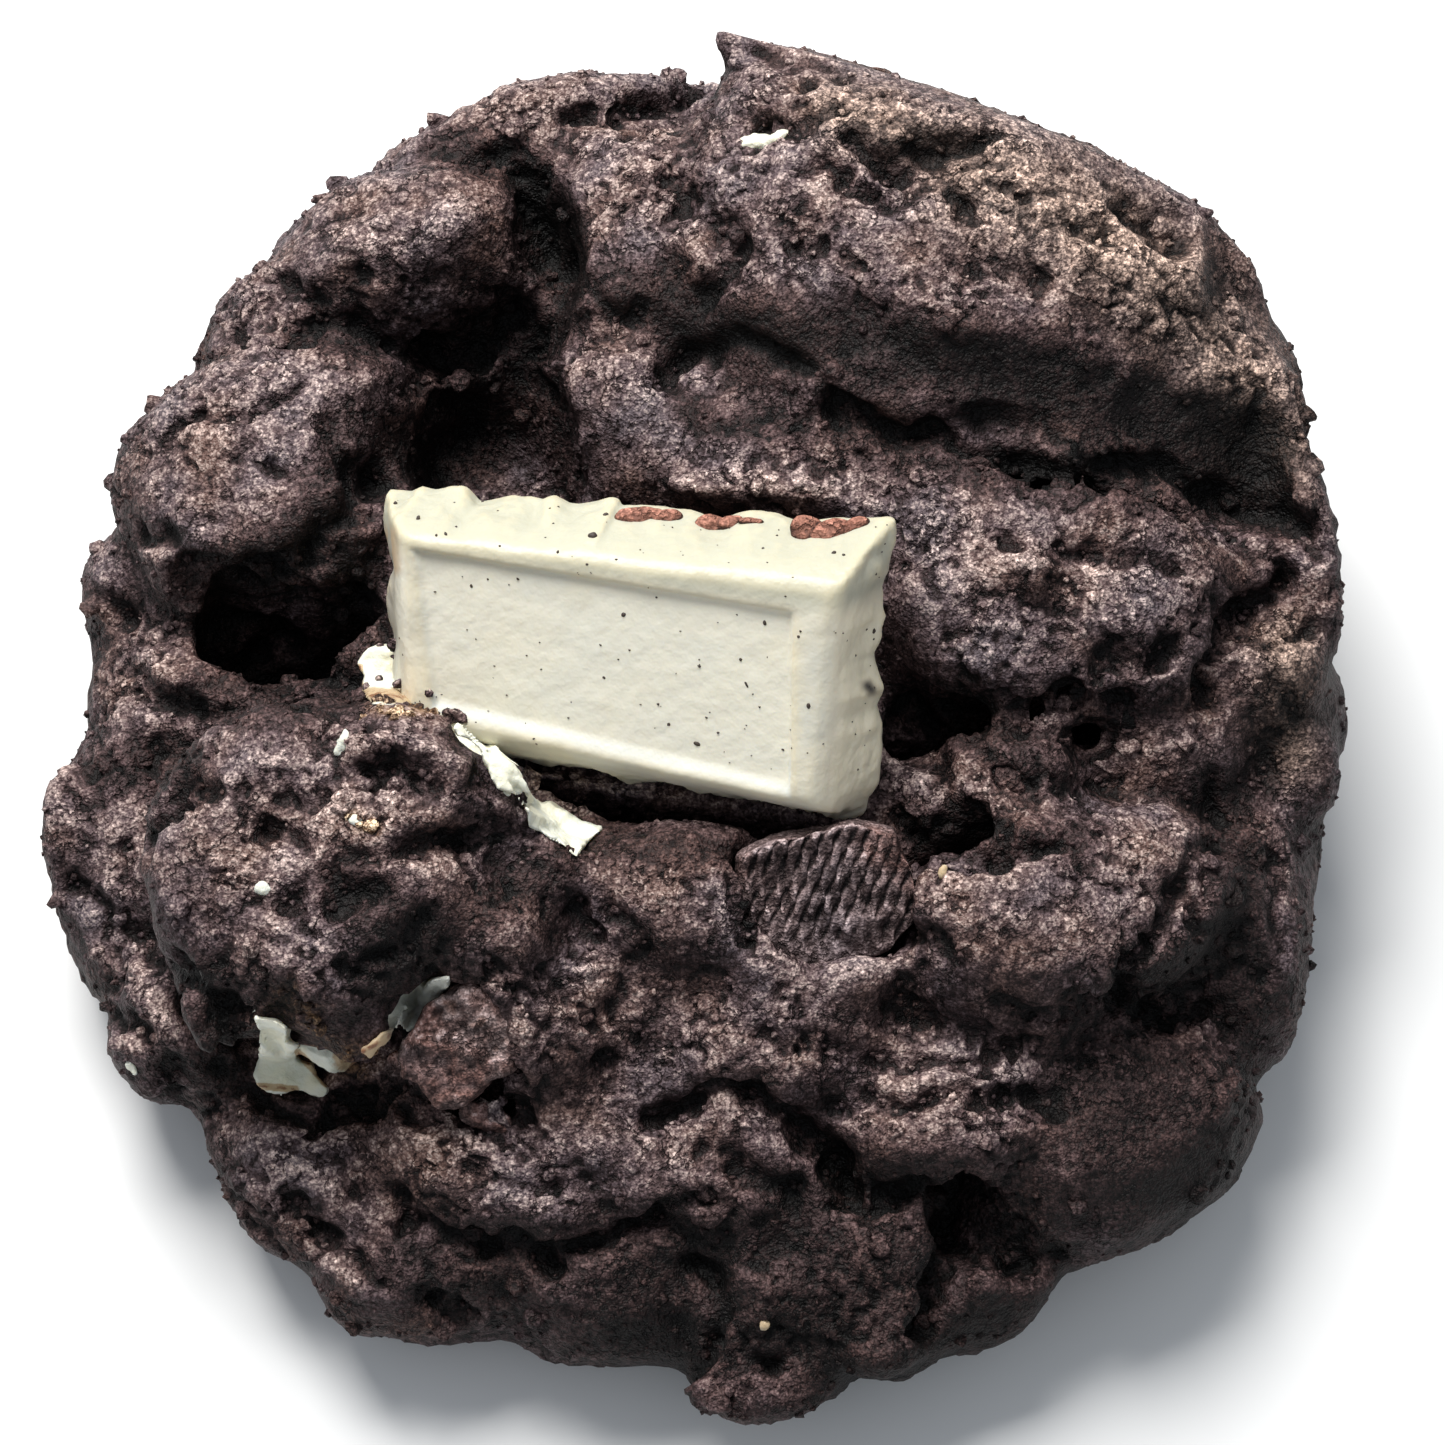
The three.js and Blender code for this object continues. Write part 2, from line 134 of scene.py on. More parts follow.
def along(right, up, stroke, width):
    """1 on a stroke's middle line, easing to 0 at half its width to each side."""
    stroke = [np.array(point, float) for point in stroke]
    nearest = np.full(len(right), np.inf)
    for start, end in zip(stroke, stroke[1:] or stroke):
        reach = end - start
        share = ((right - start[0]) * reach[0] + (up - start[1]) * reach[1]) / max(reach @ reach, 1e-9)
        share = np.clip(share, 0, 1)
        off = np.hypot(right - start[0] - share * reach[0], up - start[1] - share * reach[1])
        nearest = np.minimum(nearest, off)
    return eased(1 - nearest / (width / 2))


def in_sight(places, slack=2.5):
    """True for the places within slack mm of the nearest one in their small cell of the view."""
    right, up = facing(places)
    away = (np.array(look_at) - places) @ np.array(to_camera) / mm
    cell, middle = 0.7, 100
    row, column = np.round(up / cell).astype(int) + middle, np.round(right / cell).astype(int) + middle
    nearest = np.full((2 * middle, 2 * middle), np.inf)
    np.minimum.at(nearest, (row, column), away)
    return away < nearest[row, column] + slack


def zone(piece, name, values):
    """Stores a value for each of a piece's points, which its material reads by name."""
    kept = piece.data.attributes.new(name, "FLOAT", "POINT")
    kept.data.foreach_set("value", np.asarray(values, float))


def marked(piece, name, strokes, gain=1, slack=None):
    """Makes a zone of some strokes, given as width and middle line, on all of a piece or what is in sight."""
    places = read(piece)
    right, up = facing(places)
    most = np.max([along(right, up, stroke, width) for width, stroke in strokes.values()], axis=0)
    zone(piece, name, np.minimum(most * gain, 1) * (in_sight(places, slack) if slack else 1))


def skin_of(meshes):
    """The surface of some meshes together, for lines of sight to meet."""
    corners, faces = [], []
    for mesh in meshes:
        faces += [[len(corners) + corner for corner in face.vertices] for face in mesh.polygons]
        corners += [vertex.co for vertex in mesh.vertices]
    return BVHTree.FromPolygons(corners, faces)


def met_at(skin, right, up):
    """Where the line of sight through a point of the view plane, or one inward of it, meets a skin."""
    for share in np.linspace(1.0, 0.8, 21):
        aim = look_at + (to_right * right + to_top * up) * share * mm
        place = skin.ray_cast(camera.location, (aim - camera.location).normalized())[0]
        if place:
            return place


def daubed(piece, skin, daubs):
    """Adds blobs to a piece, each where a line of sight meets a skin, for a remesh to melt into it."""
    shape = bmesh.new()
    shape.from_mesh(piece.data)
    view = Matrix((to_right, to_top, to_camera)).transposed()
    for (right, up), half, turn, sunk in daubs.values():
        place = Matrix.Translation(met_at(skin, right, up) - to_camera * sunk * mm)
        spin = Matrix.Rotation(math.radians(turn), 3, "Z")
        blob = view @ spin @ Matrix.Diagonal(Vector(half) * mm)
        bmesh.ops.create_icosphere(shape, subdivisions=3, radius=1, matrix=place @ blob.to_4x4())
    shape.to_mesh(piece.data)
    shape.free()
    return piece


def both_ways(operation):
    """An operator's plain and reflected forms, which each add a Math node."""
    def plain(wire, other):
        return wire.math(operation, wire, other)

    def reflected(wire, other):
        return wire.math(operation, other, wire)

    return plain, reflected


class Wire:
    """One output of a node. Sums and products of wires add Math nodes."""

    __add__, __radd__ = both_ways("ADD")
    __sub__, __rsub__ = both_ways("SUBTRACT")
    __mul__, __rmul__ = both_ways("MULTIPLY")
    __truediv__, __rtruediv__ = both_ways("DIVIDE")
    __pow__, __rpow__ = both_ways("POWER")

    def __init__(self, bench, socket):
        self.bench, self.socket = bench, socket

    def __abs__(self):
        return self.math("ABSOLUTE", self)

    def math(self, operation, *values, clamp=False):
        sockets = dict(enumerate(values))
        return self.bench.node("ShaderNodeMath", sockets, operation=operation, use_clamp=clamp)

    def held(self):
        """The value, held between 0 and 1."""
        return self.math("ADD", self, 0.0, clamp=True)

    def between(self, low, high, start=0.0, end=1.0):
        """Runs smoothly from start to end as the value goes from low to high."""
        sockets = {"Value": self, "From Min": low, "From Max": high, "To Min": start, "To Max": end}
        return self.bench.node("ShaderNodeMapRange", sockets, interpolation_type="SMOOTHSTEP")


class Bench:
    """A node tree, and the one method that adds a node to it."""

    def __init__(self, tree):
        self.tree = tree

    def node(self, kind, sockets=None, out=0, stops=None, **settings):
        made = self.tree.nodes.new(kind)
        for name, value in settings.items():
            setattr(made, name, value)
        if stops:
            ramp = made.color_ramp
            while len(ramp.elements) < len(stops):
                ramp.elements.new(0.5)
            for element, (place, colour) in zip(ramp.elements, stops):
                element.position = place
                element.color = (*colour, 1)
        self.feed(made.inputs, sockets or {})
        return Wire(self, made.outputs[out])

    def feed(self, sockets, values):
        """Links a wire to each socket that is named, or sets its value. A colour is given without alpha."""
        for name, value in values.items():
            if isinstance(value, Wire):
                self.tree.links.new(value.socket, sockets[name])
            elif sockets[name].type == "RGBA":
                sockets[name].default_value = (*value, 1)
            else:
                sockets[name].default_value = value

    def mixed(self, share, first, second):
        """Two colours blended."""
        return self.node("ShaderNodeMix", {0: share, 6: first, 7: second}, out=2, data_type="RGBA")

    def vector(self, operation, *values, scale=None):
        sockets = dict(enumerate(values))
        if scale is not None:
            sockets["Scale"] = scale
        out = 1 if operation == "DOT_PRODUCT" else 0
        return self.node("ShaderNodeVectorMath", sockets, out=out, operation=operation)

    def cloud(self, place, feature, detail=0.0, rough=0.5, out=0):
        """Soft noise in clouds as wide as feature: one value, or three with out at 1."""
        sockets = {"Vector": place, "Scale": 1 / feature, "Detail": detail, "Roughness": rough}
        return self.node("ShaderNodeTexNoise", sockets, out=out)

    def kept(self, name):
        """The zone of a piece that has this name."""
        return self.node("ShaderNodeAttribute", out=2, attribute_name=name)

    def bump(self, height, distance):
        return self.node("ShaderNodeBump", {"Height": height, "Strength": 1.0, "Distance": distance})


def new_look(name):
    """A material, and a bench to build it on that knows its shader's sockets."""
    look = bpy.data.materials.new(name)
    look.use_nodes = True
    bench = Bench(look.node_tree)
    bench.shader = look.node_tree.nodes["Principled BSDF"].inputs
    return look, bench


def shape_tree(name, **sizes):
    """A Geometry Nodes tree with a mesh in and out, and named sizes."""
    tree = bpy.data.node_groups.new(name, "GeometryNodeTree")
    tree.interface.new_socket("Geometry", in_out="INPUT", socket_type="NodeSocketGeometry")
    for size, value in sizes.items():
        kind = "NodeSocketInt" if isinstance(value, int) else "NodeSocketFloat"
        tree.interface.new_socket(size, in_out="INPUT", socket_type=kind)
    tree.interface.new_socket("Geometry", in_out="OUTPUT", socket_type="NodeSocketGeometry")
    bench = Bench(tree)
    inlet = tree.nodes.new("NodeGroupInput")
    bench.inputs = {socket.name: Wire(bench, socket) for socket in inlet.outputs if socket.name}
    bench.outlet = tree.nodes.new("NodeGroupOutput").inputs
    return bench


def grown_by(piece, bench, geometry=None, **sizes):
    """Runs a Geometry Nodes tree, ended with geometry, on a piece, and keeps the mesh that it makes."""
    if geometry:
        bench.feed(bench.outlet, {0: geometry})
    modifier = piece.modifiers.new(bench.tree.name, "NODES")
    modifier.node_group = bench.tree
    for item in bench.tree.interface.items_tree:
        if item.in_out == "INPUT" and item.name in sizes:
            modifier[item.identifier] = sizes[item.name]
    return settled(piece)


def crumb_relief():
    """Puffs the dough into clumps, cracks and tears it, and sands it, along its normals."""
    bench = shape_tree("crumb relief", clump=0.0, clump_height=0.0, sand=0.0, sand_height=0.0, crack=0.0,
                       crack_depth=0.0, hole=0.0, hole_depth=0.0, sunk=0.0)
    size = bench.inputs
    place = bench.node("GeometryNodeInputPosition")
    normal = bench.node("GeometryNodeInputNormal")
    calm = bench.node("GeometryNodeInputNamedAttribute", {"Name": "calm"}, data_type="FLOAT")
    swirl = 4 * mm
    drift = bench.vector("SUBTRACT", bench.cloud(place, swirl, 3.0, out=1), (0.5, 0.5, 0.5))
    warped = bench.vector("ADD", place, bench.vector("SCALE", drift, scale=swirl))

    def puff(feature, detail=0.0):
        """Rounded swellings, from 0 in the creases between them to about 1 on their tops."""
        return abs(bench.cloud(warped, feature, detail) * 2 - 1) ** 0.7

    large = puff(size["clump"])
    middle = puff(size["clump"] * 0.45)
    little = puff(size["clump"] * 0.2)
    clumps = large * 0.7 + middle * (0.45 + large * 0.4) + little * (0.3 + middle * 0.5)
    sanded = (bench.cloud(warped, size["sand"], 3.0, 0.75) - 0.5) * 2
    cracked = 1 - puff(size["crack"], 2.0).between(0.0, 0.30)
    cracked = cracked * bench.cloud(warped, size["crack"] * 2.5).between(0.44, 0.60)
    torn_out = bench.cloud(warped, size["hole"] * 2.2, 4.0, 0.6).between(0.65, 0.72)
    height = clumps * size["clump_height"] + sanded * size["sand_height"]
    height = height - cracked * size["crack_depth"] - torn_out * size["hole_depth"]
    height = height * (1 - calm * 0.8) - size["sunk"]
    moved = bench.node("GeometryNodeSetPosition", {
        "Geometry": size["Geometry"], "Offset": bench.vector("SCALE", normal, scale=height)})
    return bench, moved


def store(bench, geometry, name, value):
    """Stores a value at each point of a mesh, which a material reads by name."""
    sockets = {"Geometry": geometry, "Name": name, "Value": value}
    return bench.node("GeometryNodeStoreNamedAttribute", sockets, data_type="FLOAT", domain="POINT")


def blurred(bench, value, steps):
    """A vector's average over each point's surroundings."""
    sockets = {"Value": value, "Iterations": steps}
    return bench.node("GeometryNodeBlurAttribute", sockets, data_type="FLOAT_VECTOR")


def proudness(bench, geometry, name, steps, reach):
    """Stores how far each point stands out of its surroundings, from -1 in a hollow to 1 on a crest."""
    place = bench.node("GeometryNodeInputPosition")
    out = bench.vector("SUBTRACT", place, blurred(bench, place, steps))
    proud = bench.vector("DOT_PRODUCT", out, bench.node("GeometryNodeInputNormal"))
    return store(bench, geometry, name, proud / reach)


def dryness_and_lamp_facing(bench, geometry, steps):
    """Stores how far each patch faces up and back, the way the lamp shines from and the oven's heat came,
    from 0 on a steep near side to 1. Crumb materials paint it lighter: partly drier crust, partly painted
    light.
    """
    outward = bench.vector("NORMALIZE", blurred(bench, bench.node("GeometryNodeInputNormal"), steps))
    facing_lamp_and_heat = bench.vector("DOT_PRODUCT", outward, (-0.10, 0.30, 0.95))
    return store(bench, geometry, "dry_and_lit", facing_lamp_and_heat.between(0.45, 0.98))


# Swellings that the heaped lumps carry, each by where it lies right of and above the middle of the
# view, its half sizes, its turn in degrees and how deep its middle sinks, in mm.
swellings = {
    "knob's edge by the white strip": ((-13.9, -4.9), (2.3, 3.4, 2.4), 10, 0.6),
    "lap over the white strip": ((-11.9, -11.2), (4.2, 3.4, 2.4), 20, 0.8),
    "below that lap": ((-14.6, -15.2), (3.6, 2.6, 2.2), 0, 1.0),
    "lap left of the white patch": ((-34.4, -20.6), (2.4, 3.8, 2.2), 20, 0.6),
    "lap right of the white patch": ((-24.0, -21.4), (2.4, 3.2, 1.8), -30, 0.5),
    "lap above the white patch": ((-28.6, -17.6), (4.6, 1.7, 1.6), -24, 0.7),
    "lap above the grey streak": ((-17.6, -16.9), (3.0, 1.7, 1.6), 30, 0.6),
    "lap behind the bar": ((4.6, 16.5), (7.6, 1.5, 2.0), -4, 0.6),
    "chunk on the shelf": ((23.0, 10.6), (2.0, 1.8, 1.6), 0, 0.4),
    "right lump": ((40.6, 3.6), (4.6, 4.4, 3.6), -20, 1.2),
    "right lump, lower": ((43.0, -2.6), (3.0, 4.6, 3.0), 8, 1.0),
    "lap right of the slanted biscuit": ((-12.6, -22.6), (1.5, 3.0, 1.3), 16, 0.2),
    "lap above the slanted biscuit": ((-14.0, -18.6), (1.8, 1.2, 1.1), -30, 0.2),
    "lap at the slanted biscuit's foot": ((-13.2, -28.0), (1.3, 1.5, 1.0), 0, 0.3),
    "lap left of the ridged wafer": ((2.3, -12.0), (1.2, 2.4, 1.0), 12, 0.1),
    "lap below the ridged wafer, left": ((4.6, -17.2), (3.2, 2.0, 1.8), -24, 0.2),
    "lap below the ridged wafer, right": ((10.6, -18.2), (3.6, 1.8, 1.8), 8, 0.2),
    "lap right of the ridged wafer": ((15.6, -13.6), (1.0, 2.6, 1.0), 6, 0.2),
    "crest's foot, left": ((10.6, 23.6), (4.0, 1.9, 2.6), -20, 1.0),
    "crest's foot, right": ((15.6, 22.2), (3.6, 1.6, 2.6), -16, 0.6),
    "shelf's back, far left": ((7.6, 20.8), (3.2, 1.8, 2.8), -24, 0.4),
    "shelf's back, left": ((12.4, 20.4), (4.4, 1.8, 3.0), -22, 0.4),
    "shelf's back, middle": ((19.0, 19.2), (4.6, 1.8, 3.0), -10, 0.2),
    "shelf's back, right": ((26.0, 18.8), (4.4, 1.6, 2.6), -6, 0.2),
    "foot of the nearest lump": ((4.2, -47.4), (5.4, 2.6, 2.6), 0, 0.6),
    "foot right of it": ((13.6, -44.2), (3.6, 2.4, 2.4), 24, 0.6),
    "left foot": ((-45.2, -8.6), (1.6, 6.0, 2.6), 4, 0.8),
    "corner of the crest": ((3.7, 48.2), (3.5, 1.6, 1.6), -9, 0.2),
    "right shoulder of the crest": ((37.6, 32.0), (5.6, 2.6, 2.6), -62, 0.8),
    "right end of the crevice": ((41.4, 22.4), (4.6, 2.0, 2.8), -76, 0.4),
    "right side by the shelf": ((43.2, 12.9), (9.0, 2.4, 3.0), -79, 0.8),
}

# What is torn into the dough or stands out of it, as width and depth in mm (a depth below 0 is a height),
# then its middle line in mm to the right of and above the middle of the view.
torn = {
    # the far side, left of the crest
    "pit by the rim": (2.6, 2.2, [(-15.5, 39.8), (-13.8, 40.0)]),
    "pit beside it": (2.6, 1.8, [(-12.8, 39.6), (-11.2, 38.4)]),
    "channel behind the knob": (2.4, 1.5, [(-12.4, 37.0), (-11.0, 34.8), (-10.8, 32.6), (-9.6, 30.8)]),
    "pit on the far rim": (2.2, 1.8, [(-9.4, 43.0), (-8.2, 43.2)]),
    "pit left of the crest": (3.4, 2.4, [(-5.0, 43.0), (-2.6, 43.4), (-0.4, 45.6)]),
    "corner pit of the crest": (2.2, 2.0, [(-0.6, 47.0), (0.2, 43.8)]),
    "short crack in the knob": (1.2, 1.2, [(-25.6, 36.4), (-24.6, 35.6), (-23.6, 36.0)]),
    "second crack in the knob": (1.1, 1.0, [(-22.4, 35.6), (-21.4, 34.6), (-19.8, 35.2)]),
    "knob top": (5.0, -0.8, [(-24.6, 33.0), (-17.0, 36.0)]),
    "split under the knob": (1.2, 0.8, [(-22.6, 32.4), (-19.4, 30.6), (-15.6, 31.4), (-12.6, 30.2)]),
    "cracked slope, upper": (1.6, 1.6, [(-31.0, 32.0), (-27.4, 30.4), (-24.4, 31.8)]),
    "cracked slope, lower": (2.0, 1.3, [(-29.6, 27.4), (-26.4, 28.6), (-22.4, 26.6)]),
    "hollow, upper end": (4.2, 0.8, [(-16.0, 27.8), (-12.6, 28.0)]),
    "hollow, lower end": (5.0, 1.4, [(-19.4, 24.6), (-16.0, 21.0), (-19.0, 18.4)]),
    "crack between the middle lumps": (1.4, 1.8, [(-2.4, 39.4), (-1.6, 37.6), (-0.8, 36.4)]),
    "dark side of the middle lumps": (2.0, 1.4, [(-9.4, 32.4), (-7.6, 30.4), (-4.8, 29.4), (-3.4, 28.6)]),
    "ledge shadow": (1.8, 0.8, [(-4.2, 25.4), (-2.2, 24.4), (0.0, 25.6)]),
    "crack in the lobe": (1.0, 1.0, [(-9.4, 22.0), (-7.6, 20.4), (-7.2, 18.6)]),
    "dent left of the lobe": (2.2, 1.4, [(-12.8, 24.6), (-10.6, 23.0)]),

    "bed of the white strip": (3.6, 1.0, [(-16.6, -0.7), (-14.4, -3.0), (-12.4, -5.4), (-9.6, -7.4)]),
    "bed of the white patch": (6.0, 1.5, [(-30.4, -22.0), (-29.6, -24.6), (-28.0, -25.4)]),
    "bed of the white tip": (4.0, 1.0, [(-22.8, 4.0), (-20.4, 2.6)]),
    "bed of the grey streak": (2.6, 0.9, [(-20.6, -21.2), (-18.6, -18.9)]),

    # the crest
    "hollow in the crest": (3.4, 3.0, [(3.4, 42.6), (6.0, 42.4), (7.4, 43.6)]),
    "its tail": (1.6, 1.6, [(7.4, 43.8), (10.0, 43.9)]),
    "long pit": (3.2, 2.8, [(10.6, 41.6), (12.6, 40.4), (15.2, 40.2), (17.8, 41.0), (20.4, 41.0)]),
    "its branch": (2.0, 2.0, [(13.6, 40.0), (15.6, 38.6), (17.8, 39.2)]),
    "crack below the long pit": (1.6, 1.8, [(7.4, 39.8), (10.0, 38.4), (12.8, 37.6), (16.2, 37.8),
                                            (19.0, 36.4)]),
    "crack, right of the middle": (1.4, 1.6, [(21.4, 37.6), (23.6, 37.4), (25.0, 38.4)]),
    "crack near the far edge": (1.2, 1.4, [(21.4, 41.4), (23.6, 42.2)]),
    "pit at the right": (3.0, 2.6, [(30.8, 36.8), (33.4, 35.6), (34.6, 34.4)]),
    "small pits at the right": (2.2, 2.0, [(29.4, 37.8), (30.6, 36.8)]),
    "crack at the right": (1.4, 1.4, [(26.4, 36.0), (29.0, 34.6)]),
    "first dot": (1.4, 1.6, [(27.8, 32.4)]),
    "second dot": (1.6, 1.6, [(33.0, 31.8)]),
    "left cheek crack": (1.6, 1.8, [(0.4, 36.0), (2.0, 33.6), (1.8, 31.0), (0.0, 29.0)]),
    "left cheek knob": (3.4, -0.9, [(-1.0, 34.2), (0.0, 32.2)]),
    "face crack, left": (1.2, 1.2, [(5.4, 34.8), (7.4, 33.2), (9.8, 33.4), (12.2, 32.2)]),
    "face crack, right": (1.2, 1.2, [(17.4, 33.2), (19.6, 31.8), (22.6, 32.2), (25.0, 30.4)]),
    "far edge flake": (2.2, 1.2, [(4.6, 47.4), (9.6, 46.0)]),

    "under the brow of the crest": (10.0, 1.8, [(11.0, 27.4), (17.8, 24.6), (24.9, 22.6), (32.0, 20.4),
                                                (38.4, 18.6)]),

    # the long crevice and the shelf below it
    "crevice, left": (1.8, 2.0, [(-2.4, 24.8), (-0.8, 26.2), (3.0, 26.8), (7.2, 25.0), (9.4, 22.6)]),
    "crevice, middle": (2.8, 3.4, [(9.4, 22.2), (12.8, 20.8), (17.0, 19.8), (21.4, 19.1), (27.0, 17.9)]),
    "crevice, right": (2.8, 3.2, [(27.0, 17.9), (32.7, 17.6), (36.0, 16.8), (39.2, 15.6), (44.4, 13.2)]),
    "ridge across the hollow": (3.6, 3.4, [(-18.4, 26.0), (-15.6, 26.4), (-11.6, 25.6)]),
    "shelf knob": (3.4, -1.0, [(22.6, 12.2), (23.8, 10.2)]),
    "shelf knob, lower": (2.4, -0.8, [(19.0, 4.4), (20.4, 3.6)]),
    "shelf pit": (1.8, 1.8, [(21.8, 13.2), (22.8, 12.6)]),
    "shelf crack": (1.6, 1.8, [(26.4, 12.4), (30.0, 11.8), (34.2, 11.0)]),
    "shelf crack, far right": (1.8, 2.0, [(35.6, 15.4), (38.4, 14.8), (39.6, 12.0), (42.0, 9.6)]),
    "shelf crack, middle": (1.2, 1.4, [(14.6, 10.8), (16.8, 9.0), (18.2, 6.6)]),
    "shelf crack, left": (1.2, 1.2, [(3.6, 18.6), (6.4, 19.6), (9.0, 18.4)]),
    "pebble by the bar": (1.4, -0.9, [(12.2, 15.4), (13.0, 15.0)]),
    "shelf edge dent": (3.0, 2.0, [(28.6, 3.8), (33.4, 4.8)]),
    "black split at the right": (2.6, 3.0, [(41.2, 9.4), (37.8, 7.2), (36.6, 4.4), (36.2, 1.6)]),
    "beside the white tip": (4.6, 2.6, [(-31.0, 3.6), (-27.4, 2.6), (-25.4, 2.8)]),
    "crack in the right lump": (1.6, 1.6, [(38.4, 6.4), (41.0, 5.0), (43.6, 6.4)]),
    "right lump dent": (2.4, 1.6, [(40.8, 2.6), (42.2, 0.4)]),
    "under the shelf": (2.8, 2.6, [(14.6, 0.8), (20.0, 0.2), (25.6, 1.0), (30.6, 1.2)]),

    # the left
    "left lump, upper line": (1.8, 2.0, [(-37.2, 20.6), (-35.2, 22.6), (-31.4, 22.2), (-28.4, 23.8)]),
    "left lump, crest crack": (1.4, 1.4, [(-33.4, 27.0), (-30.6, 25.8), (-28.0, 27.2)]),
    "left lump pits": (2.0, 2.0, [(-39.4, 13.4), (-37.6, 12.8)]),
    "left lump pit": (1.6, 1.8, [(-34.8, 15.2), (-34.2, 14.6)]),
    "left lump crack": (1.4, 1.4, [(-33.0, 19.4), (-29.4, 17.6), (-26.4, 18.2)]),
    "left lump, under-face": (2.6, 1.0, [(-26.4, 20.4), (-22.4, 17.4)]),
    "left lump, lower edge": (2.4, 2.0, [(-36.6, 11.0), (-32.0, 10.8), (-28.8, 9.0)]),
    "deep hole": (4.4, 2.8, [(-34.2, 7.4), (-30.0, 5.4), (-28.0, 4.6)]),
    "hole beside the bar": (3.0, 2.6, [(-24.0, 9.0), (-22.6, 6.0)]),
    "shadow under the left lump": (4.4, 2.4, [(-22.6, 17.9), (-26.1, 12.9), (-31.8, 9.4), (-35.4, 9.4)]),
    "low lump crack": (1.6, 1.6, [(-41.0, 3.2), (-37.6, 1.0), (-33.0, 0.6)]),
    "low lump pit": (2.4, 2.0, [(-42.4, 9.0), (-41.0, 7.4)]),
    "low lump ridge": (3.0, -0.9, [(-38.6, 5.0), (-34.6, 2.0)]),
    "low lump split": (1.8, 1.8, [(-42.6, -3.6), (-39.4, -2.2), (-36.4, -3.0)]),

    # the near left lump
    "near left knob pit": (3.4, 1.6, [(-22.6, -3.8), (-19.6, -4.2)]),
    "near left knob": (4.0, -1.0, [(-24.8, -1.4), (-17.0, -2.4)]),
    "brow": (1.8, 2.2, [(-28.3, -11.9), (-25.4, -9.8), (-21.2, -9.0), (-17.6, -8.4), (-14.2, -7.6)]),
    "crease": (1.6, 1.8, [(-32.6, -13.0), (-29.0, -12.6), (-28.2, -15.4)]),
    "side crack": (1.8, 2.2, [(-35.4, -4.0), (-38.9, -6.9), (-40.0, -9.0), (-40.4, -14.0),
                              (-38.9, -16.1), (-36.0, -19.0)]),
    "top crack": (1.2, 1.4, [(-33.4, -3.6), (-30.4, -5.2), (-27.4, -4.8)]),
    "top dent": (2.0, 1.4, [(-30.6, -7.6), (-28.6, -8.6)]),
    "face pit": (3.0, 2.2, [(-26.4, -12.6), (-22.4, -11.6)]),
    "face crack, near left": (1.6, 1.8, [(-25.4, -17.4), (-22.0, -16.2), (-19.4, -13.6)]),
    "hole at the foot": (3.8, 3.0, [(-34.2, -20.4), (-33.2, -23.4)]),
    "split at the foot": (2.6, 2.6, [(-31.8, -26.4), (-27.4, -28.4), (-22.0, -26.2)]),
    "left foot split": (2.0, 2.0, [(-45.0, -11.4), (-42.4, -12.8), (-41.4, -16.6)]),
    "left foot pit": (2.4, 2.0, [(-41.6, -20.4), (-40.0, -22.4)]),
    "left foot crack": (1.4, 1.4, [(-38.6, -23.6), (-36.4, -26.0)]),

    # the middle and the near side
    "pocket": (2.4, 2.6, [(-14.0, -26.8), (-12.8, -28.2)]),
    "crack to the pocket": (1.6, 2.0, [(-21.2, -27.5), (-17.6, -28.2), (-14.1, -30.0)]),
    "middle pit": (2.0, 2.0, [(-8.8, -13.6), (-7.8, -15.0)]),
    "crack by the wafer": (1.6, 1.8, [(2.2, -10.5), (2.6, -12.2), (3.4, -13.8), (3.8, -16.4)]),
    "crack right of the wafer": (1.6, 1.8, [(15.0, -15.2), (16.4, -15.8), (17.8, -16.2)]),
    "crack under the right lump": (1.8, 2.0, [(21.4, -19.8), (24.4, -21.4), (27.0, -20.8)]),
    "ridge line": (1.6, 2.0, [(4.4, -21.6), (7.4, -22.8), (10.8, -23.6), (18.4, -24.0), (22.4, -22.6)]),
    "second ridge line": (1.8, 2.0, [(9.4, -27.6), (14.4, -27.0), (19.4, -26.2), (25.4, -27.4)]),
    "crack in the middle": (1.6, 1.8, [(-6.4, -12.6), (-4.4, -16.8), (-6.0, -20.4), (-3.4, -22.8)]),
    "crack, left of the middle": (1.6, 1.8, [(-14.4, -17.4), (-10.4, -18.6), (-7.0, -21.6), (-6.6, -25.4)]),
    "arch": (2.4, 2.8, [(-3.4, -28.2), (0.1, -26.8), (3.7, -26.8), (6.5, -27.8), (9.3, -30.3),
                        (10.7, -33.2)]),
    "under the arch": (3.4, 2.2, [(1.4, -31.0), (6.4, -33.0)]),
    "near shelf, left edge": (2.0, 2.4, [(-22.6, -33.2), (-19.8, -36.0), (-14.0, -37.4), (-7.0, -37.1),
                                         (-3.4, -34.6), (0.1, -33.9)]),
    "near shelf crack": (1.6, 1.6, [(-16.4, -31.6), (-11.4, -33.4), (-6.4, -32.2)]),
    "black pit, near side": (2.6, 2.8, [(-11.4, -38.0), (-10.0, -39.4)]),
    "dark under the near shelf": (3.0, 2.4, [(-5.4, -35.6), (-0.4, -36.4)]),
    "right foot split": (3.4, 4.0, [(18.6, -33.6), (19.0, -37.4), (17.4, -40.4), (15.8, -43.2)]),
    "split above it": (2.2, 2.4, [(7.6, -30.0), (11.6, -33.8), (15.4, -33.0), (18.4, -34.0)]),
    "nearest lump crack": (1.6, 1.8, [(4.4, -45.2), (6.4, -45.4), (8.4, -44.0)]),
    "nearest lump split": (2.0, 2.0, [(0.4, -38.4), (1.6, -42.4), (-0.4, -46.4)]),
    "nearest lump ridge": (3.0, -0.9, [(3.4, -37.4), (4.6, -42.4)]),
    "front left crack": (1.8, 2.0, [(-29.4, -34.4), (-26.4, -37.4), (-21.4, -40.4)]),
    "front left split": (1.6, 1.8, [(-24.4, -33.4), (-25.4, -30.4), (-29.4, -30.0)]),
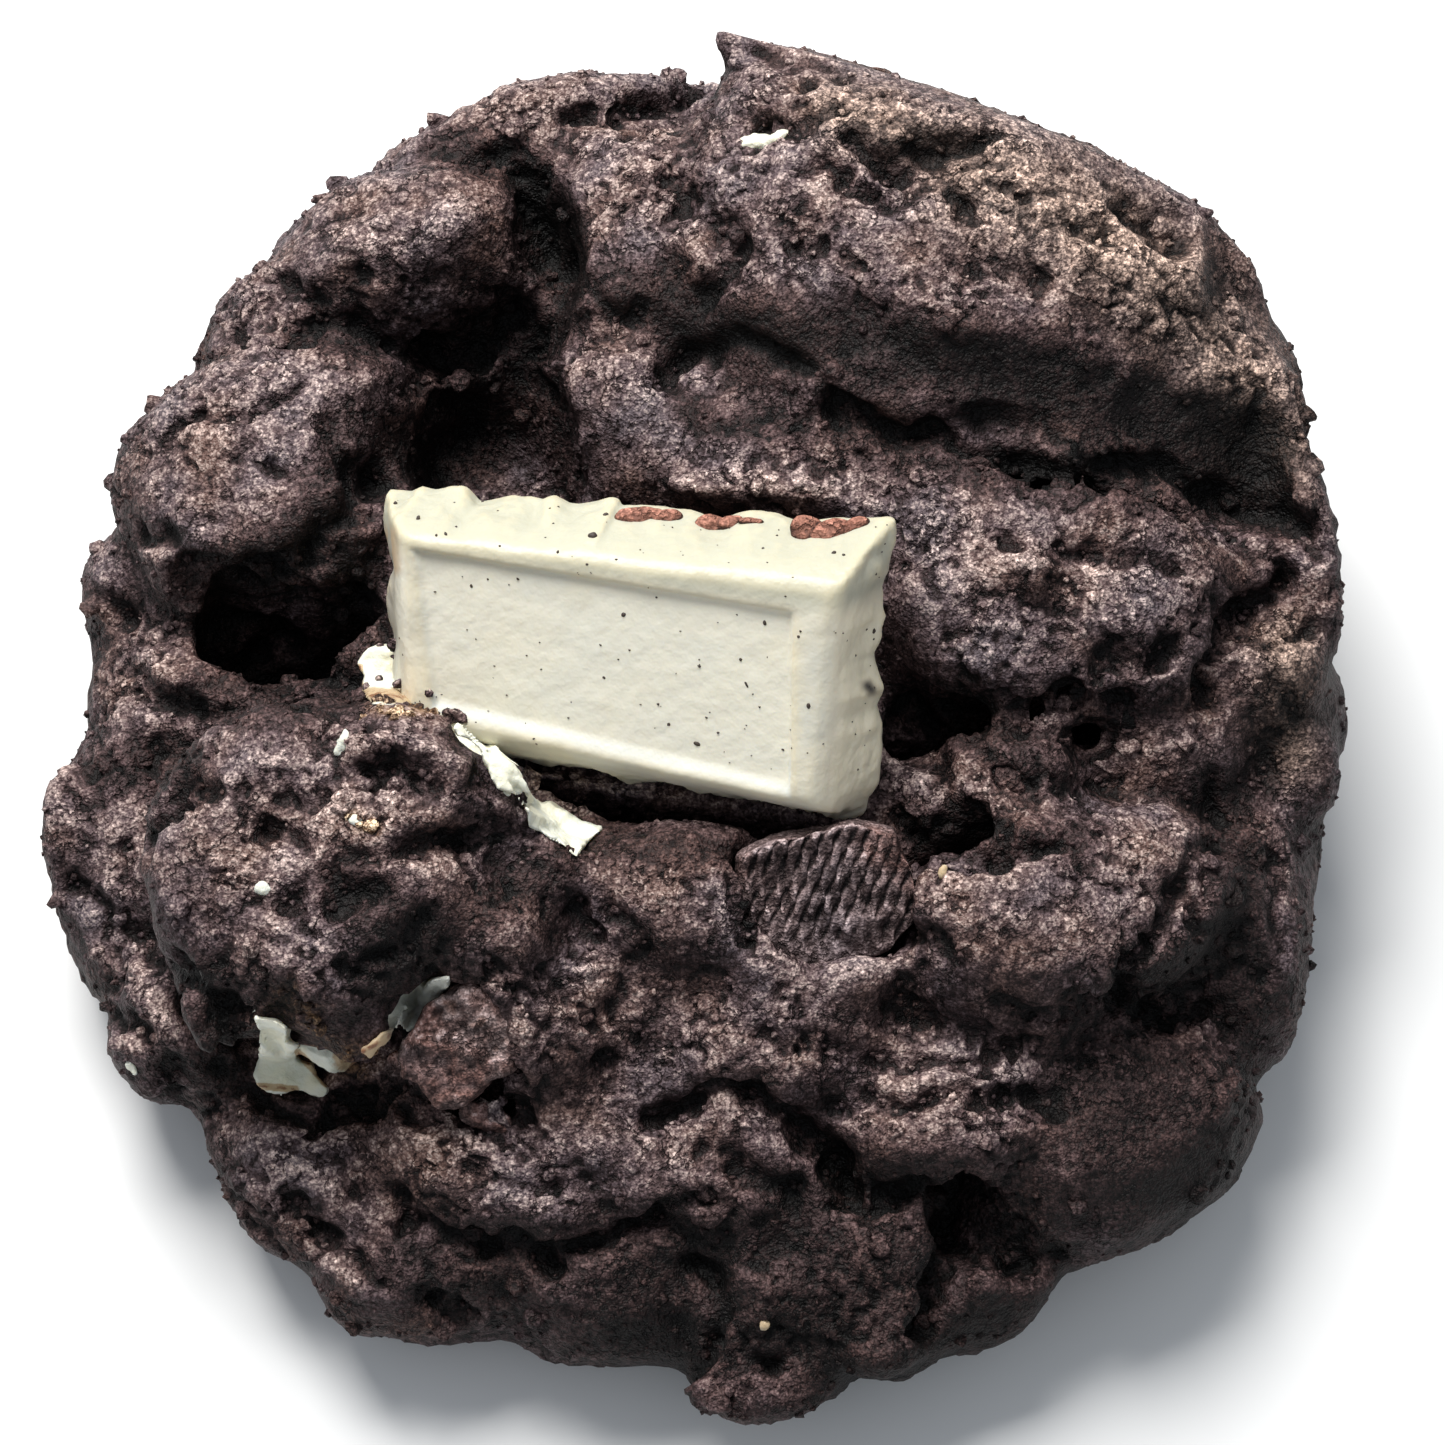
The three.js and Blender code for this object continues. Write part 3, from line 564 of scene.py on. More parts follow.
    "front left pit": (2.4, 2.2, [(-19.4, -41.4), (-16.4, -42.4)]),
    "gap right of the bar": (5.0, 3.0, [(14.6, 1.6), (16.4, -3.4), (18.5, -7.6), (21.4, -8.3)]),
    "right foot gap": (5.0, 3.2, [(18.5, -34.0), (20.5, -36.5), (24.0, -38.2)]),
    "step shadow": (2.2, 2.6, [(14.4, -6.4), (15.4, -9.4), (19.4, -9.6), (25.4, -8.8)]),
    "step crack": (1.4, 1.6, [(17.4, -2.6), (20.4, -4.0), (24.4, -3.4)]),
    "right lump lower shadow": (2.2, 2.6, [(35.4, -8.4), (34.6, -12.4), (32.2, -16.4), (30.4, -19.4),
                                           (28.6, -20.6)]),
    "down to the smooth lobe": (1.6, 1.0, [(28.6, -20.6), (27.8, -24.4), (23.6, -27.0)]),
    "above the smooth lobe": (2.0, 2.2, [(30.4, -20.4), (33.4, -21.0), (36.4, -20.0)]),
    "right wall split": (2.0, 2.2, [(36.6, -4.0), (36.8, -9.4), (36.0, -14.4)]),
    "right wall crack": (1.4, 1.4, [(40.4, -8.4), (41.4, -14.4), (40.4, -19.4)]),
}
torn_share = 0.75        # how much of a tear's depth the soft dough keeps open

# The even arc of the crest's far edge, as points right of and above the middle of the view, in mm.
crest_edge = [(0.0, 49.7), (9.0, 47.5), (17.5, 45.1), (28.3, 40.9), (35.9, 36.7), (39.6, 32.4),
              (41.0, 28.4), (60.0, 80.0)]

# Zones of the dough, each a few strokes given as width and middle line in mm. The first holds the
# even parts, where the crumb is smooth.
calm_spots = {
    "smooth lobe": (21.0, [(29.0, -29.0), (34.0, -32.0)]),
    "strip of melted white": (4.0, [(-16.8, -0.6), (-14.2, -3.0), (-12.0, -5.8), (-8.6, -7.6)]),
    "patch of melted white": (6.4, [(-30.6, -22.4), (-28.6, -25.2)]),
    "tip of melted white": (4.6, [(-23.0, 3.4), (-20.0, 2.6)]),
    "right side of the right lump": (5.0, [(44.6, 4.0), (44.4, -2.0)]),
    "far edge of the crest": (4.4, [(2.0, 48.6), (14.0, 46.4), (26.0, 41.6), (37.0, 34.0), (42.0, 26.0)]),
    "under-face of the crest": (11.0, [(0.0, 28.0), (8.0, 27.6), (18.0, 24.8), (26.0, 22.6),
                                       (34.0, 20.4), (40.0, 18.0)]),
    "wafer bed": (7.0, [(6.0, -13.0), (12.0, -13.0)]),
}

# Dough that the oven browned, where melted white chocolate and sugar had soaked into it.
toasted_spots = {
    "under the white tip": (1.6, [(-23.4, 1.2), (-21.0, 0.8), (-19.0, 1.2)]),
    "above the white patch": (3.0, [(-29.4, -19.4), (-27.6, -20.6)]),
    "right of the white patch": (4.0, [(-26.6, -23.4), (-24.0, -24.2)]),
    "below the knob": (2.4, [(-24.4, -6.9), (-23.4, -7.4)]),
}

# Dough painted darker: partly dough that stayed damp and dark, sheltered from the heat or pressed smooth, and
# partly painted shade in hollows, under brows and on faces turned from the lamp.
moist_and_shade_spots = {
    "smooth lobe": (22.0, [(29.0, -28.0), (34.0, -31.0)]),
    "far part of the lobe": (11.0, [(31.0, -22.6), (36.0, -26.0)]),
    "nearest lumps": (22.0, [(-3.0, -41.0), (6.0, -43.0), (14.0, -43.0)]),
    "nearest lumps, left": (9.0, [(-21.0, -38.0), (-10.0, -38.6), (0.0, -38.0)]),
    "right foot": (22.0, [(8.0, -36.0), (15.0, -36.0), (20.0, -40.0)]),
    "right wall": (8.0, [(38.0, -6.0), (39.0, -20.0)]),
    "under-face of the crest": (11.0, [(5.0, 27.0), (16.0, 26.2), (26.0, 23.8), (33.0, 21.4),
                                       (40.0, 18.6)]),
    "right end of the under-face": (8.0, [(31.0, 23.0), (38.0, 20.8)]),
    "right of the crest's foot": (8.0, [(24.0, 17.6), (34.0, 17.6), (41.0, 15.0)]),
    "crest's left cheek": (8.0, [(-6.0, 31.4), (-3.0, 30.0), (0.0, 28.4), (6.0, 26.4)]),
    "valley behind the hollow": (6.4, [(-18.0, 41.0), (-12.0, 38.8), (-9.8, 34.0), (-9.2, 29.0)]),
    "hollow": (10.0, [(-12.6, 27.6), (-15.6, 26.0), (-17.0, 20.0), (-21.0, 16.6)]),
    "slope beside the hollow": (5.0, [(-27.0, 28.0), (-23.0, 26.0)]),
    "foot of the lobe": (5.0, [(-1.0, 22.6), (2.0, 21.0), (7.0, 20.8)]),
    "shelf's back": (5.6, [(10.0, 21.0), (17.0, 19.0), (25.0, 17.0), (32.0, 16.0)]),
    "beside the bar": (7.0, [(-24.6, 15.0), (-24.6, 6.6)]),
    "under the left lump": (8.0, [(-32.0, 10.6), (-27.0, 14.0), (-26.0, 17.6)]),
    "beside the deep hole": (11.0, [(-31.0, 2.6), (-25.0, 3.4)]),
    "rim of the deep hole": (7.0, [(-35.0, 2.0), (-29.0, 1.0)]),
    "left low lump": (8.0, [(-42.0, -3.4), (-37.0, -3.0)]),
    "left low lump, top": (6.0, [(-35.0, 6.6), (-33.0, 4.0)]),
    "face of the near left lump": (9.0, [(-25.0, -11.8), (-20.0, -15.0), (-22.0, -17.6)]),
    "right of the near left lump": (6.0, [(-14.8, -13.4), (-10.0, -10.0)]),
    "hole at the foot": (7.0, [(-35.6, -18.6), (-33.6, -24.4)]),
    "below the white patch": (5.0, [(-31.0, -27.6), (-24.0, -27.6), (-19.0, -26.6)]),
    "step": (8.0, [(18.0, 0.6), (24.0, -3.0)]),
    "under the step": (6.0, [(16.0, -8.0), (27.0, -8.3)]),
    "under the right lump": (6.0, [(31.0, -19.0), (36.0, -16.0)]),
    "under the bar": (6.0, [(-8.0, -8.2), (2.0, -9.0)]),
}

# Tops painted lighter: partly drier crust where they stood highest in the heat, partly painted light where
# they face the lamp.
parched_and_lit_spots = {
    "far part of the crest": (13.0, [(24.0, 37.0), (31.0, 33.0), (37.0, 26.0)]),
    "right end of the crest": (9.0, [(34.0, 30.0), (38.0, 25.0)]),
    "knob, right end": (9.0, [(-21.0, 32.0), (-14.6, 33.6)]),
    "shelf": (12.0, [(20.0, 11.0), (30.0, 9.0)]),
    "shelf, left": (8.0, [(-1.0, 17.0), (11.0, 15.6)]),
    "near left lump": (10.0, [(-31.0, -9.0), (-24.0, -7.0)]),
    "middle ridges": (12.0, [(-11.0, -19.0), (-4.0, -22.0)]),
    "middle ridges, left": (9.0, [(-20.0, -25.6), (-11.0, -23.6)]),
    "right of the ridges": (6.0, [(24.0, -23.6), (26.0, -24.6)]),
    "ridge, right": (10.0, [(14.0, -19.0), (24.0, -23.0)]),
    "left edge": (8.0, [(-40.0, 15.0), (-39.6, 11.0)]),
    "left foot": (8.0, [(-39.6, -23.0), (-38.0, -20.0)]),
}

# Tops that browned as they dried, where others turn paler and greyer with drier crust and painted light.
browned_spots = {
    "far part of the crest": (15.0, [(20.0, 39.0), (29.0, 34.6), (36.0, 28.0), (41.0, 20.0)]),
    "crest, below its far edge": (9.0, [(10.0, 43.6), (22.0, 39.6)]),
    "right lump": (9.0, [(42.0, 5.0), (42.0, -2.0)]),
}

cad_skin = skin_of([node.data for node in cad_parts.values()])
dough = smoothed(remeshed(daubed(copy_of("dough"), cad_skin, swellings), 0.6 * mm), 9)
dough.name = "dough_crumb"
even_skin = skin_of([dough.data])
remeshed(dough, 0.5 * mm)
places, outward = read(dough), read(dough, "vertex_normals", "vector")
noise.seed_set(7)        # the vector noise below would start from the clock without it
ragged = lumpy(places, 2.6 * mm, noise.noise_vector) + lumpy(places, 1.1 * mm, noise.noise_vector) * 0.4
ragged_reach = 1.3
right, up = facing(places + ragged * ragged_reach * mm)
depth = np.zeros(len(places))
for width, deep, stroke in torn.values():
    depth += along(right, up, stroke, width) * (deep * torn_share if deep > 0 else deep)
places -= outward * (depth * in_sight(places) * mm)[:, None]
right, up = facing(places)
crest_start = 0.3
past = np.maximum(up - np.interp(right, *zip(*crest_edge)), 0) * (right > crest_start)
places -= np.outer(past * mm, np.array(to_top))
remeshed(smoothed(reshaped(dough, places), 1), 0.42 * mm)

marked(dough, "calm", calm_spots, slack=9)
marked(dough, "toasted", toasted_spots, slack=2.5)
# Painted darker: partly damp dough, partly painted shade.
marked(dough, "moist_and_shade", moist_and_shade_spots, gain=1.3)
# Painted lighter: partly drier crust, partly painted light.
marked(dough, "parched_and_lit", parched_and_lit_spots)
marked(dough, "browned", browned_spots)

bench, relief = crumb_relief()
# Proudness, which crumb materials paint as shade in hollows and light on crests: painted shade and painted
# light.
relief = proudness(bench, relief, "fine", 5, 0.15 * mm)
relief = proudness(bench, relief, "broad", 50, 0.8 * mm)
relief = dryness_and_lamp_facing(bench, relief, 12)
grown_by(dough, bench, relief, clump=5.5 * mm, clump_height=0.34 * mm, sand=1.1 * mm, sand_height=0.32 * mm,
         crack=3.0 * mm, crack_depth=0.45 * mm, hole=2.0 * mm, hole_depth=0.35 * mm, sunk=0.3 * mm)

most_triangles = 190000
thin = dough.modifiers.new("thin out", "DECIMATE")
thin.ratio = min(1, most_triangles / (2 * len(dough.data.polygons)))
settled(dough)
dough.data.shade_smooth()


def crumb_look(name, tints, pale_and_lit=(0.175, 0.142, 0.126), toast=(0.30, 0.16, 0.07), even=0.0):
    """Baked crumb: grains with light tops and dark gaps between them, tinted in patches. The dark gaps,
    creases and hollows are painted shade, and patches facing the lamp are painted lighter.
    """
    look, bench = new_look(name)
    spot = bench.node("ShaderNodeTexCoord", out=3)
    # The tints of painted shade in gaps and hollows, of damp dough under painted shade, and of browned tops.
    in_gaps_and_shade, moist_and_shade, browned = (0.230, 0.105, 0.100), (0.205, 0.112, 0.105), (0.234, 0.162, 0.125)

    def cloud(feature, detail, rough=0.6):
        return bench.cloud(spot, feature * mm, detail, rough)

    drift = bench.cloud(spot, 0.5 * mm, 1.0, out=1)
    warped = bench.vector("ADD", spot, bench.vector("SCALE", drift, scale=0.35 * mm))
    cell = {"Vector": warped, "Scale": 1 / (0.27 * mm)}
    from_middle = bench.node("ShaderNodeTexVoronoi", cell)
    drawn = bench.node("ShaderNodeSeparateColor", {0: bench.node("ShaderNodeTexVoronoi", cell, out=1)})
    plates = cloud(1.5, 4.0, 0.62)
    crease = abs((cloud(2.6, 4.0) - 0.5) * 2).between(0.01, 0.05)
    crease = 1 - (1 - crease) * cloud(4, 1.0).between(0.44, 0.58)
    sand = cloud(0.15, 1.0)
    grit = cloud(0.6, 2.0).between(0.34, 0.60, 0.55, 1.3)

    # Random tone of grains, grit, plates and sand, with painted shade in the gaps between grains and in the
    # creases.
    light = drawn.between(0.0, 1.0, 0.65, 1.4) * from_middle.between(0.3, 0.8, 1.15, 0.4) * grit
    light = light * plates.between(0.32, 0.56, 0.55, 1.25) * (crease * 0.8 + 0.2)
    light = light * sand.between(0.3, 0.7, 0.7, 1.3)
    light = light * (1 - even) + even * 0.8
    # Painted shade in hollows and painted light on crests, at a fine and a broad size.
    light = light * ((bench.kept("fine") * 0.6 + 0.55).held() * 1.1 + 0.1)
    light = light * ((bench.kept("broad") * 0.6 + 0.7).held() * 0.9 + 0.3)
    # Patches that face up and back, the way the lamp shines from, painted lighter: partly drier crust, partly
    # painted light.
    light = light * (bench.kept("dry_and_lit") * 1.02 + 0.24)
    # Darker in the zone of damp dough and painted shade.
    light = light * (1 - bench.kept("moist_and_shade").held() * 0.8)
    # Lighter on the tops of drier crust and painted light.
    light = light * (bench.kept("parched_and_lit").held() * 0.55 + 1)
    tint = bench.node("ShaderNodeValToRGB", {0: cloud(6, 4.0)}, stops=tints)
    tint = bench.mixed(bench.kept("toasted").held() * plates.between(0.35, 0.55), tint, toast)
    # Where the painted light is low the tint turns redder, as painted shade, and so does the zone of damp
    # dough and painted shade; where it is high the tint turns paler, as painted light.
    tint = bench.mixed(light.between(0.0, 0.45, 0.55, 0.0), tint, in_gaps_and_shade)
    tint = bench.mixed(bench.kept("moist_and_shade").held() * 0.5, tint, moist_and_shade)
    tint = bench.mixed(light.between(0.5, 1.7, 0.0, 0.7), tint, pale_and_lit)
    tint = bench.mixed(bench.kept("browned").held() * 0.7, tint, browned)
    rounded = 1 - from_middle * from_middle
    relief = rounded * 0.08 + grit * 0.13 + plates * 0.32 + crease * 0.25 + sand * 0.06
    bench.feed(bench.shader, {
        "Base Color": bench.vector("SCALE", tint, scale=light), "Normal": bench.bump(relief, 1.0 * mm),
        "Roughness": 0.6, "Specular IOR Level": 0.22})
    return look


dough_black = crumb_look("baked dough", [
    (0.32, (0.164, 0.125, 0.142)), (0.44, (0.176, 0.117, 0.126)), (0.54, (0.184, 0.114, 0.112)),
    (0.68, (0.194, 0.108, 0.090))])


def finished(piece, look, node=None):
    """Gives a piece its look and its place in the object, and hides the CAD node that it stands for."""
    piece.data.materials.clear()
    piece.data.materials.append(look)
    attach(piece, "root")
    if node:
        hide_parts(node)


finished(dough, dough_black, "dough")

# ---------------------------------------------------------------- crumbs
# Loose and half-sunk crumbs of the same dough all over it, from flakes of the broken surface down to
# grit. They came off it as it was torn and heaped, and baked fast.
def crumb_tree(name, look, where=None):
    """Strews crumbs on a piece's skin, or only on the zone that where names."""
    bench = shape_tree(name, each_square_metre=0.0, across=0.0, flat=0.0, rounds=1, seed=0)
    size = bench.inputs
    lift = bench.node("ShaderNodeSeparateXYZ", {0: bench.node("GeometryNodeInputNormal")}, out=2)
    place = bench.node("GeometryNodeInputPosition")
    height = bench.node("ShaderNodeSeparateXYZ", {0: place}, out=2)
    share = lift.between(0.0, 0.45) * height.between(1.0 * mm, 2.5 * mm)
    zoned = bench.node("GeometryNodeInputNamedAttribute", {"Name": where or "calm"}, data_type="FLOAT")
    share = share * (zoned if where else 1 - zoned)
    sockets = {"Mesh": size["Geometry"], "Density": share * size["each_square_metre"], "Seed": size["seed"]}
    strewn = bench.node("GeometryNodeDistributePointsOnFaces", sockets)
    lying = bench.node("GeometryNodeDistributePointsOnFaces", sockets, out=2)
    grain = bench.node("GeometryNodeMeshIcoSphere", {
        "Radius": size["across"] * 0.5, "Subdivisions": size["rounds"]})

    def drawn(least, most, seed):
        sockets = {2: least, 3: most, "Seed": seed}
        return bench.node("FunctionNodeRandomValue", sockets, out=1, data_type="FLOAT")

    wide, long = drawn(0.55, 1.4, size["seed"]), drawn(0.6, 1.3, size["seed"] + 7)
    scaled = bench.node("ShaderNodeCombineXYZ", {0: wide, 1: wide * long, 2: wide * size["flat"]})
    grains = bench.node("GeometryNodeInstanceOnPoints", {
        "Points": strewn, "Instance": grain, "Rotation": lying, "Scale": scaled})
    grains = bench.node("GeometryNodeRealizeInstances", {"Geometry": grains})
    knocked = {"Vector": place, "Scale": 1.5 / size["across"], "Detail": 1.0}
    knocked = bench.vector("SUBTRACT", bench.node("ShaderNodeTexNoise", knocked, out=1), (0.5, 0.5, 0.5))
    grains = bench.node("GeometryNodeSetPosition", {
        "Geometry": grains, "Offset": bench.vector("SCALE", knocked, scale=size["across"] * 0.9)})
    # Crumbs count as standing proud, which the crumb material paints lighter: painted light.
    grains = store(bench, grains, "fine", 0.7)
    grains = bench.node("GeometryNodeSetMaterial", {"Geometry": grains, "Material": look})
    bench.feed(bench.outlet, {0: grains})
    return bench


def strew(skin, scatter, look, kinds):
    """Makes a piece of each kind of crumb that a tree strews on a skin, from its number on a square mm, its
    width in mm, how flat it is, its rounds of subdivision and its seed."""
    for name, (number, across, flat, rounds, seed) in kinds.items():
        crumbs = bpy.data.objects.new(name, skin.data.copy())
        bpy.context.scene.collection.objects.link(crumbs)
        grown_by(crumbs, scatter, each_square_metre=number * (1 / mm ** 2), across=across * mm, flat=flat,
                 rounds=rounds, seed=seed)
        crumbs.data.shade_smooth()
        finished(crumbs, look)


strew(dough, crumb_tree("crumbs", dough_black), dough_black, {
    "flakes": (0.035, 1.25, 0.5, 2, 3), "crumbs": (0.15, 0.62, 0.8, 1, 5), "grit": (0.45, 0.34, 0.9, 1, 8)})

# ---------------------------------------------------------------- white bar segment
# One segment snapped off a moulded bar of white chocolate with biscuit specks: a raised rim round
# a sunken panel, softened by the oven's heat, with ragged edges where it broke off the bar.
bar_middle = np.array((-4.01, -0.745, 25.5)) * mm
bar_axes = np.array(((0.968, -0.232, 0.099), (0.124, 0.777, 0.617), (-0.22, -0.585, 0.781)))

# How far each part of an edge breaks out past its line, in mm, by its place along the edge.
far_break = [(-19.1, 0.0), (-17.2, -0.2), (-16.5, 0.35), (-15.5, 0.1), (-14.4, 0.25), (-13.4, 0.0),
             (-12.4, -0.8), (-11.3, -0.2), (-10.4, 0.2), (-9.2, 0.1), (-8.0, -0.5), (-7.2, -0.2),
             (-6.1, -0.4), (-4.7, 0.0), (-3.5, 0.4), (-2.9, 0.4), (-2.6, -0.15), (0.9, -0.4),
             (2.4, -0.3), (5.0, -0.45), (6.5, -0.2), (9.4, -0.35), (13.8, -0.1), (15.3, 0.1), (16.5, 0.0)]
right_break = [(-7.0, -0.3), (-6.0, 0.1), (-4.1, 0.1), (-1.8, 0.2), (-0.6, -0.2), (0.6, 0.15),
               (1.6, -0.3), (2.9, -0.85), (4.4, -0.6), (5.5, -0.1), (7.4, -0.4), (8.6, -0.1),
               (10.0, -0.3), (12.0, 0.0)]

# The sunken panel's sides as lines in the bar's own plane, and how wide the slope up from each is, in mm.
panel_sides = {
    "far": ((-14.2, 5.7), (10.7, 5.9), 0.5),
    "right": ((10.7, 5.9), (12.1, -5.0), 0.4),
    "near": ((12.1, -5.0), (-12.0, -3.7), 1.5),
    "left": ((-12.0, -3.7), (-14.2, 5.7), 0.9),
}
panel_height = 5.5

bar = smoothed(remeshed(copy_of("bar_segment"), 0.22 * mm), 12)
bar.name = "moulded_bar"
places = read(bar)
lengthwise, crosswise, thickness = ((places - bar_middle) @ bar_axes.T / mm).T
on_top = eased((thickness - 4.2) / 0.6)
within = np.ones(len(places))
for (x, y), (end_x, end_y), slope in panel_sides.values():
    inside = (lengthwise - x) * (end_y - y) - (crosswise - y) * (end_x - x)
    within = np.minimum(within, eased(inside / math.hypot(end_x - x, end_y - y) / slope + 1))
flattened = (panel_height - thickness) * within * on_top
soft = lumpy(places, 3.2 * mm) * 0.12 * (1 - within * on_top)
bite = lumpy(places, 1.1 * mm) + 0.5 * lumpy(places, 0.45 * mm)
low = np.clip(1.3 - thickness / 4.5, 0, 1)

# Each side as a zone, how far out its points move in mm, and along which axis.
far_out = np.interp(lengthwise, *zip(*far_break)) * 0.8 + bite * 0.1
right_out = np.interp(crosswise, *zip(*right_break)) + bite * 0.1
sides = {
    "far_side": (eased((crosswise - 5.4 - 0.04 * lengthwise) / 2.0), far_out, bar_axes[1]),
    "right_side": (eased((lengthwise - 13.6 + 0.06 * crosswise) / 1.6), right_out, bar_axes[0]),
    "near_side": (eased((-6.4 - crosswise) / 1.6), bite * 0.3 - 0.05, -bar_axes[1]),
    "left_side": (eased((-15.4 - lengthwise) / 1.6), bite * 0.12, -bar_axes[0]),
}
moved = sum(np.outer(out * side * low, axis) for side, out, axis in sides.values())
moved += np.outer(flattened + soft, bar_axes[2])
smoothed(reshaped(bar, places + moved * mm), 1)

bench = shape_tree("bar edges")
grown_by(bar, bench, proudness(bench, bench.inputs["Geometry"], "fine", 8, 0.06 * mm))
bar.data.shade_smooth()
for name, (side, out, axis) in sides.items():
    zone(bar, name, side)
zone(bar, "panel", within * on_top)
zone(bar, "slope", 4 * within * (1 - within) * eased((-crosswise - 3.4) / 0.4))
marked(bar, "blurred_crumb", {"right side": (1.5, [(12.0, 2.6), (12.3, 2.3)])}, slack=2.5)
marked(bar, "toast", {"left edge": (1.8, [(-21.9, 13.4), (-21.6, 11.0)])}, slack=2.5)

# The tint of each zone, after how far it covers those before it. The panel, the slope up from it and the four
# sides are tinted lighter or darker for how the lamp falls on them: painted light and painted shade.
bar_tints = {
    "panel": (0.6, (0.90, 0.86, 0.72)),
    "left_side": (0.8, (0.44, 0.40, 0.33)),
    "right_side": (0.95, (1.0, 0.89, 0.67)),
    "near_side": (0.9, (0.97, 0.90, 0.72)),
    "far_side": (0.95, (0.52, 0.51, 0.40)),
    "slope": (0.7, (0.74, 0.76, 0.72)),
    "fine": (0.35, (0.80, 0.68, 0.44)),
    "toast": (0.6, (0.70, 0.46, 0.24)),
    "blurred_crumb": (0.95, (0.03, 0.028, 0.035)),
}
white, bench = new_look("white chocolate")
spot = bench.node("ShaderNodeTexCoord", out=3)
greyish = bench.cloud(spot, 5 * mm, 3.0).between(0.42, 0.66, 0.0, 0.6)
yellowish = bench.cloud(spot, 3.4 * mm, 3.0).between(0.55, 0.72, 0.0, 0.4)
colour = bench.mixed(greyish, (0.79, 0.75, 0.62), (0.70, 0.705, 0.64))
colour = bench.mixed(yellowish, colour, (0.80, 0.70, 0.47))
for name, (share, tint) in bar_tints.items():
    colour = bench.mixed(bench.kept(name).held() * share, colour, tint)
bench.feed(bench.shader, {
    "Base Color": colour, "Normal": bench.bump(bench.cloud(spot, 1.6 * mm, 3.0, 0.55), 0.16 * mm),
    "Roughness": 0.38, "Specular IOR Level": 0.4, "Subsurface Weight": 0.25,
    "Subsurface Radius": (1.0, 0.85, 0.6), "Subsurface Scale": 1.6 * mm})
finished(bar, white, "bar_segment")

# ---------------------------------------------------------------- bits in the white bar
# Broken dark biscuit stirred into the white chocolate: three porous bits that break through its far
# side, and specks all through it that show as dots at the surface, the largest placed one by one.
def roughened(piece, amount, feature):
    """Knocks a piece's skin in and out along its normals, at one size and at a smaller one."""
    places, outward = read(piece), read(piece, "vertex_normals", "vector")
    knocked = lumpy(places, feature) + 0.5 * lumpy(places, feature * 0.4)
    return reshaped(piece, places + outward * (knocked * amount)[:, None])


def measured(piece, steps, reach):
    """Stores on a piece where it stands out of its surroundings and where it faces up and back, the way the
    lamp shines from. Crumb materials paint hollows darker and lamp-facing patches lighter: painted shade and
    painted light.
    """
    bench = shape_tree("surface of " + piece.name)
    surface = proudness(bench, bench.inputs["Geometry"], "fine", steps, reach)
    grown_by(piece, bench, dryness_and_lamp_facing(bench, surface, steps * 2))
    piece.data.shade_smooth()
    return piece


def blobs(name, skin, spots, voxel, ragged, feature):
    """A piece of small rough lumps, each where a line of sight meets a skin."""
    piece = bpy.data.objects.new(name, bpy.data.meshes.new(name))
    bpy.context.scene.collection.objects.link(piece)
    daubed(piece, skin, spots)
    return measured(roughened(remeshed(piece, voxel), ragged, feature), 4, ragged * 0.4)


brown_biscuit = crumb_look("brown biscuit", [
    (0.35, (0.36, 0.145, 0.10)), (0.50, (0.42, 0.185, 0.13)), (0.65, (0.38, 0.165, 0.12))],
    (0.42, 0.20, 0.15), even=0.6)
bar_skin = skin_of([bar.data])
bits = blobs("biscuit_bits_in_bar", bar_skin, {
    "left bit": ((-4.0, 14.5), (1.9, 0.8, 0.5), -2, 0.16),
    "left bit, right end": ((-2.2, 14.5), (1.1, 0.6, 0.4), 8, 0.14),
    "middle bit": ((0.9, 13.85), (1.2, 0.9, 0.5), -8, 0.16),
    "middle bit, right end": ((2.4, 14.1), (1.0, 0.6, 0.4), 6, 0.14),
    "middle bit, tail": ((3.7, 14.25), (0.9, 0.3, 0.3), -4, 0.08),
    "right bit": ((8.0, 13.3), (1.6, 1.15, 0.5), -40, 0.2),
    "right bit, middle": ((9.4, 13.3), (1.5, 1.05, 0.5), 24, 0.18),
    "right bit, right end": ((11.1, 13.9), (1.1, 0.6, 0.4), 24, 0.14),
}, 0.1 * mm, 0.07 * mm, 0.8 * mm)
finished(bits, brown_biscuit)

dark_speck, bench = new_look("dark speck")
bench.feed(bench.shader, {"Base Color": (0.045, 0.03, 0.022), "Roughness": 0.6})
strew(bar, crumb_tree("specks", dark_speck), dark_speck, {"specks": (0.16, 0.17, 0.35, 1, 4)})

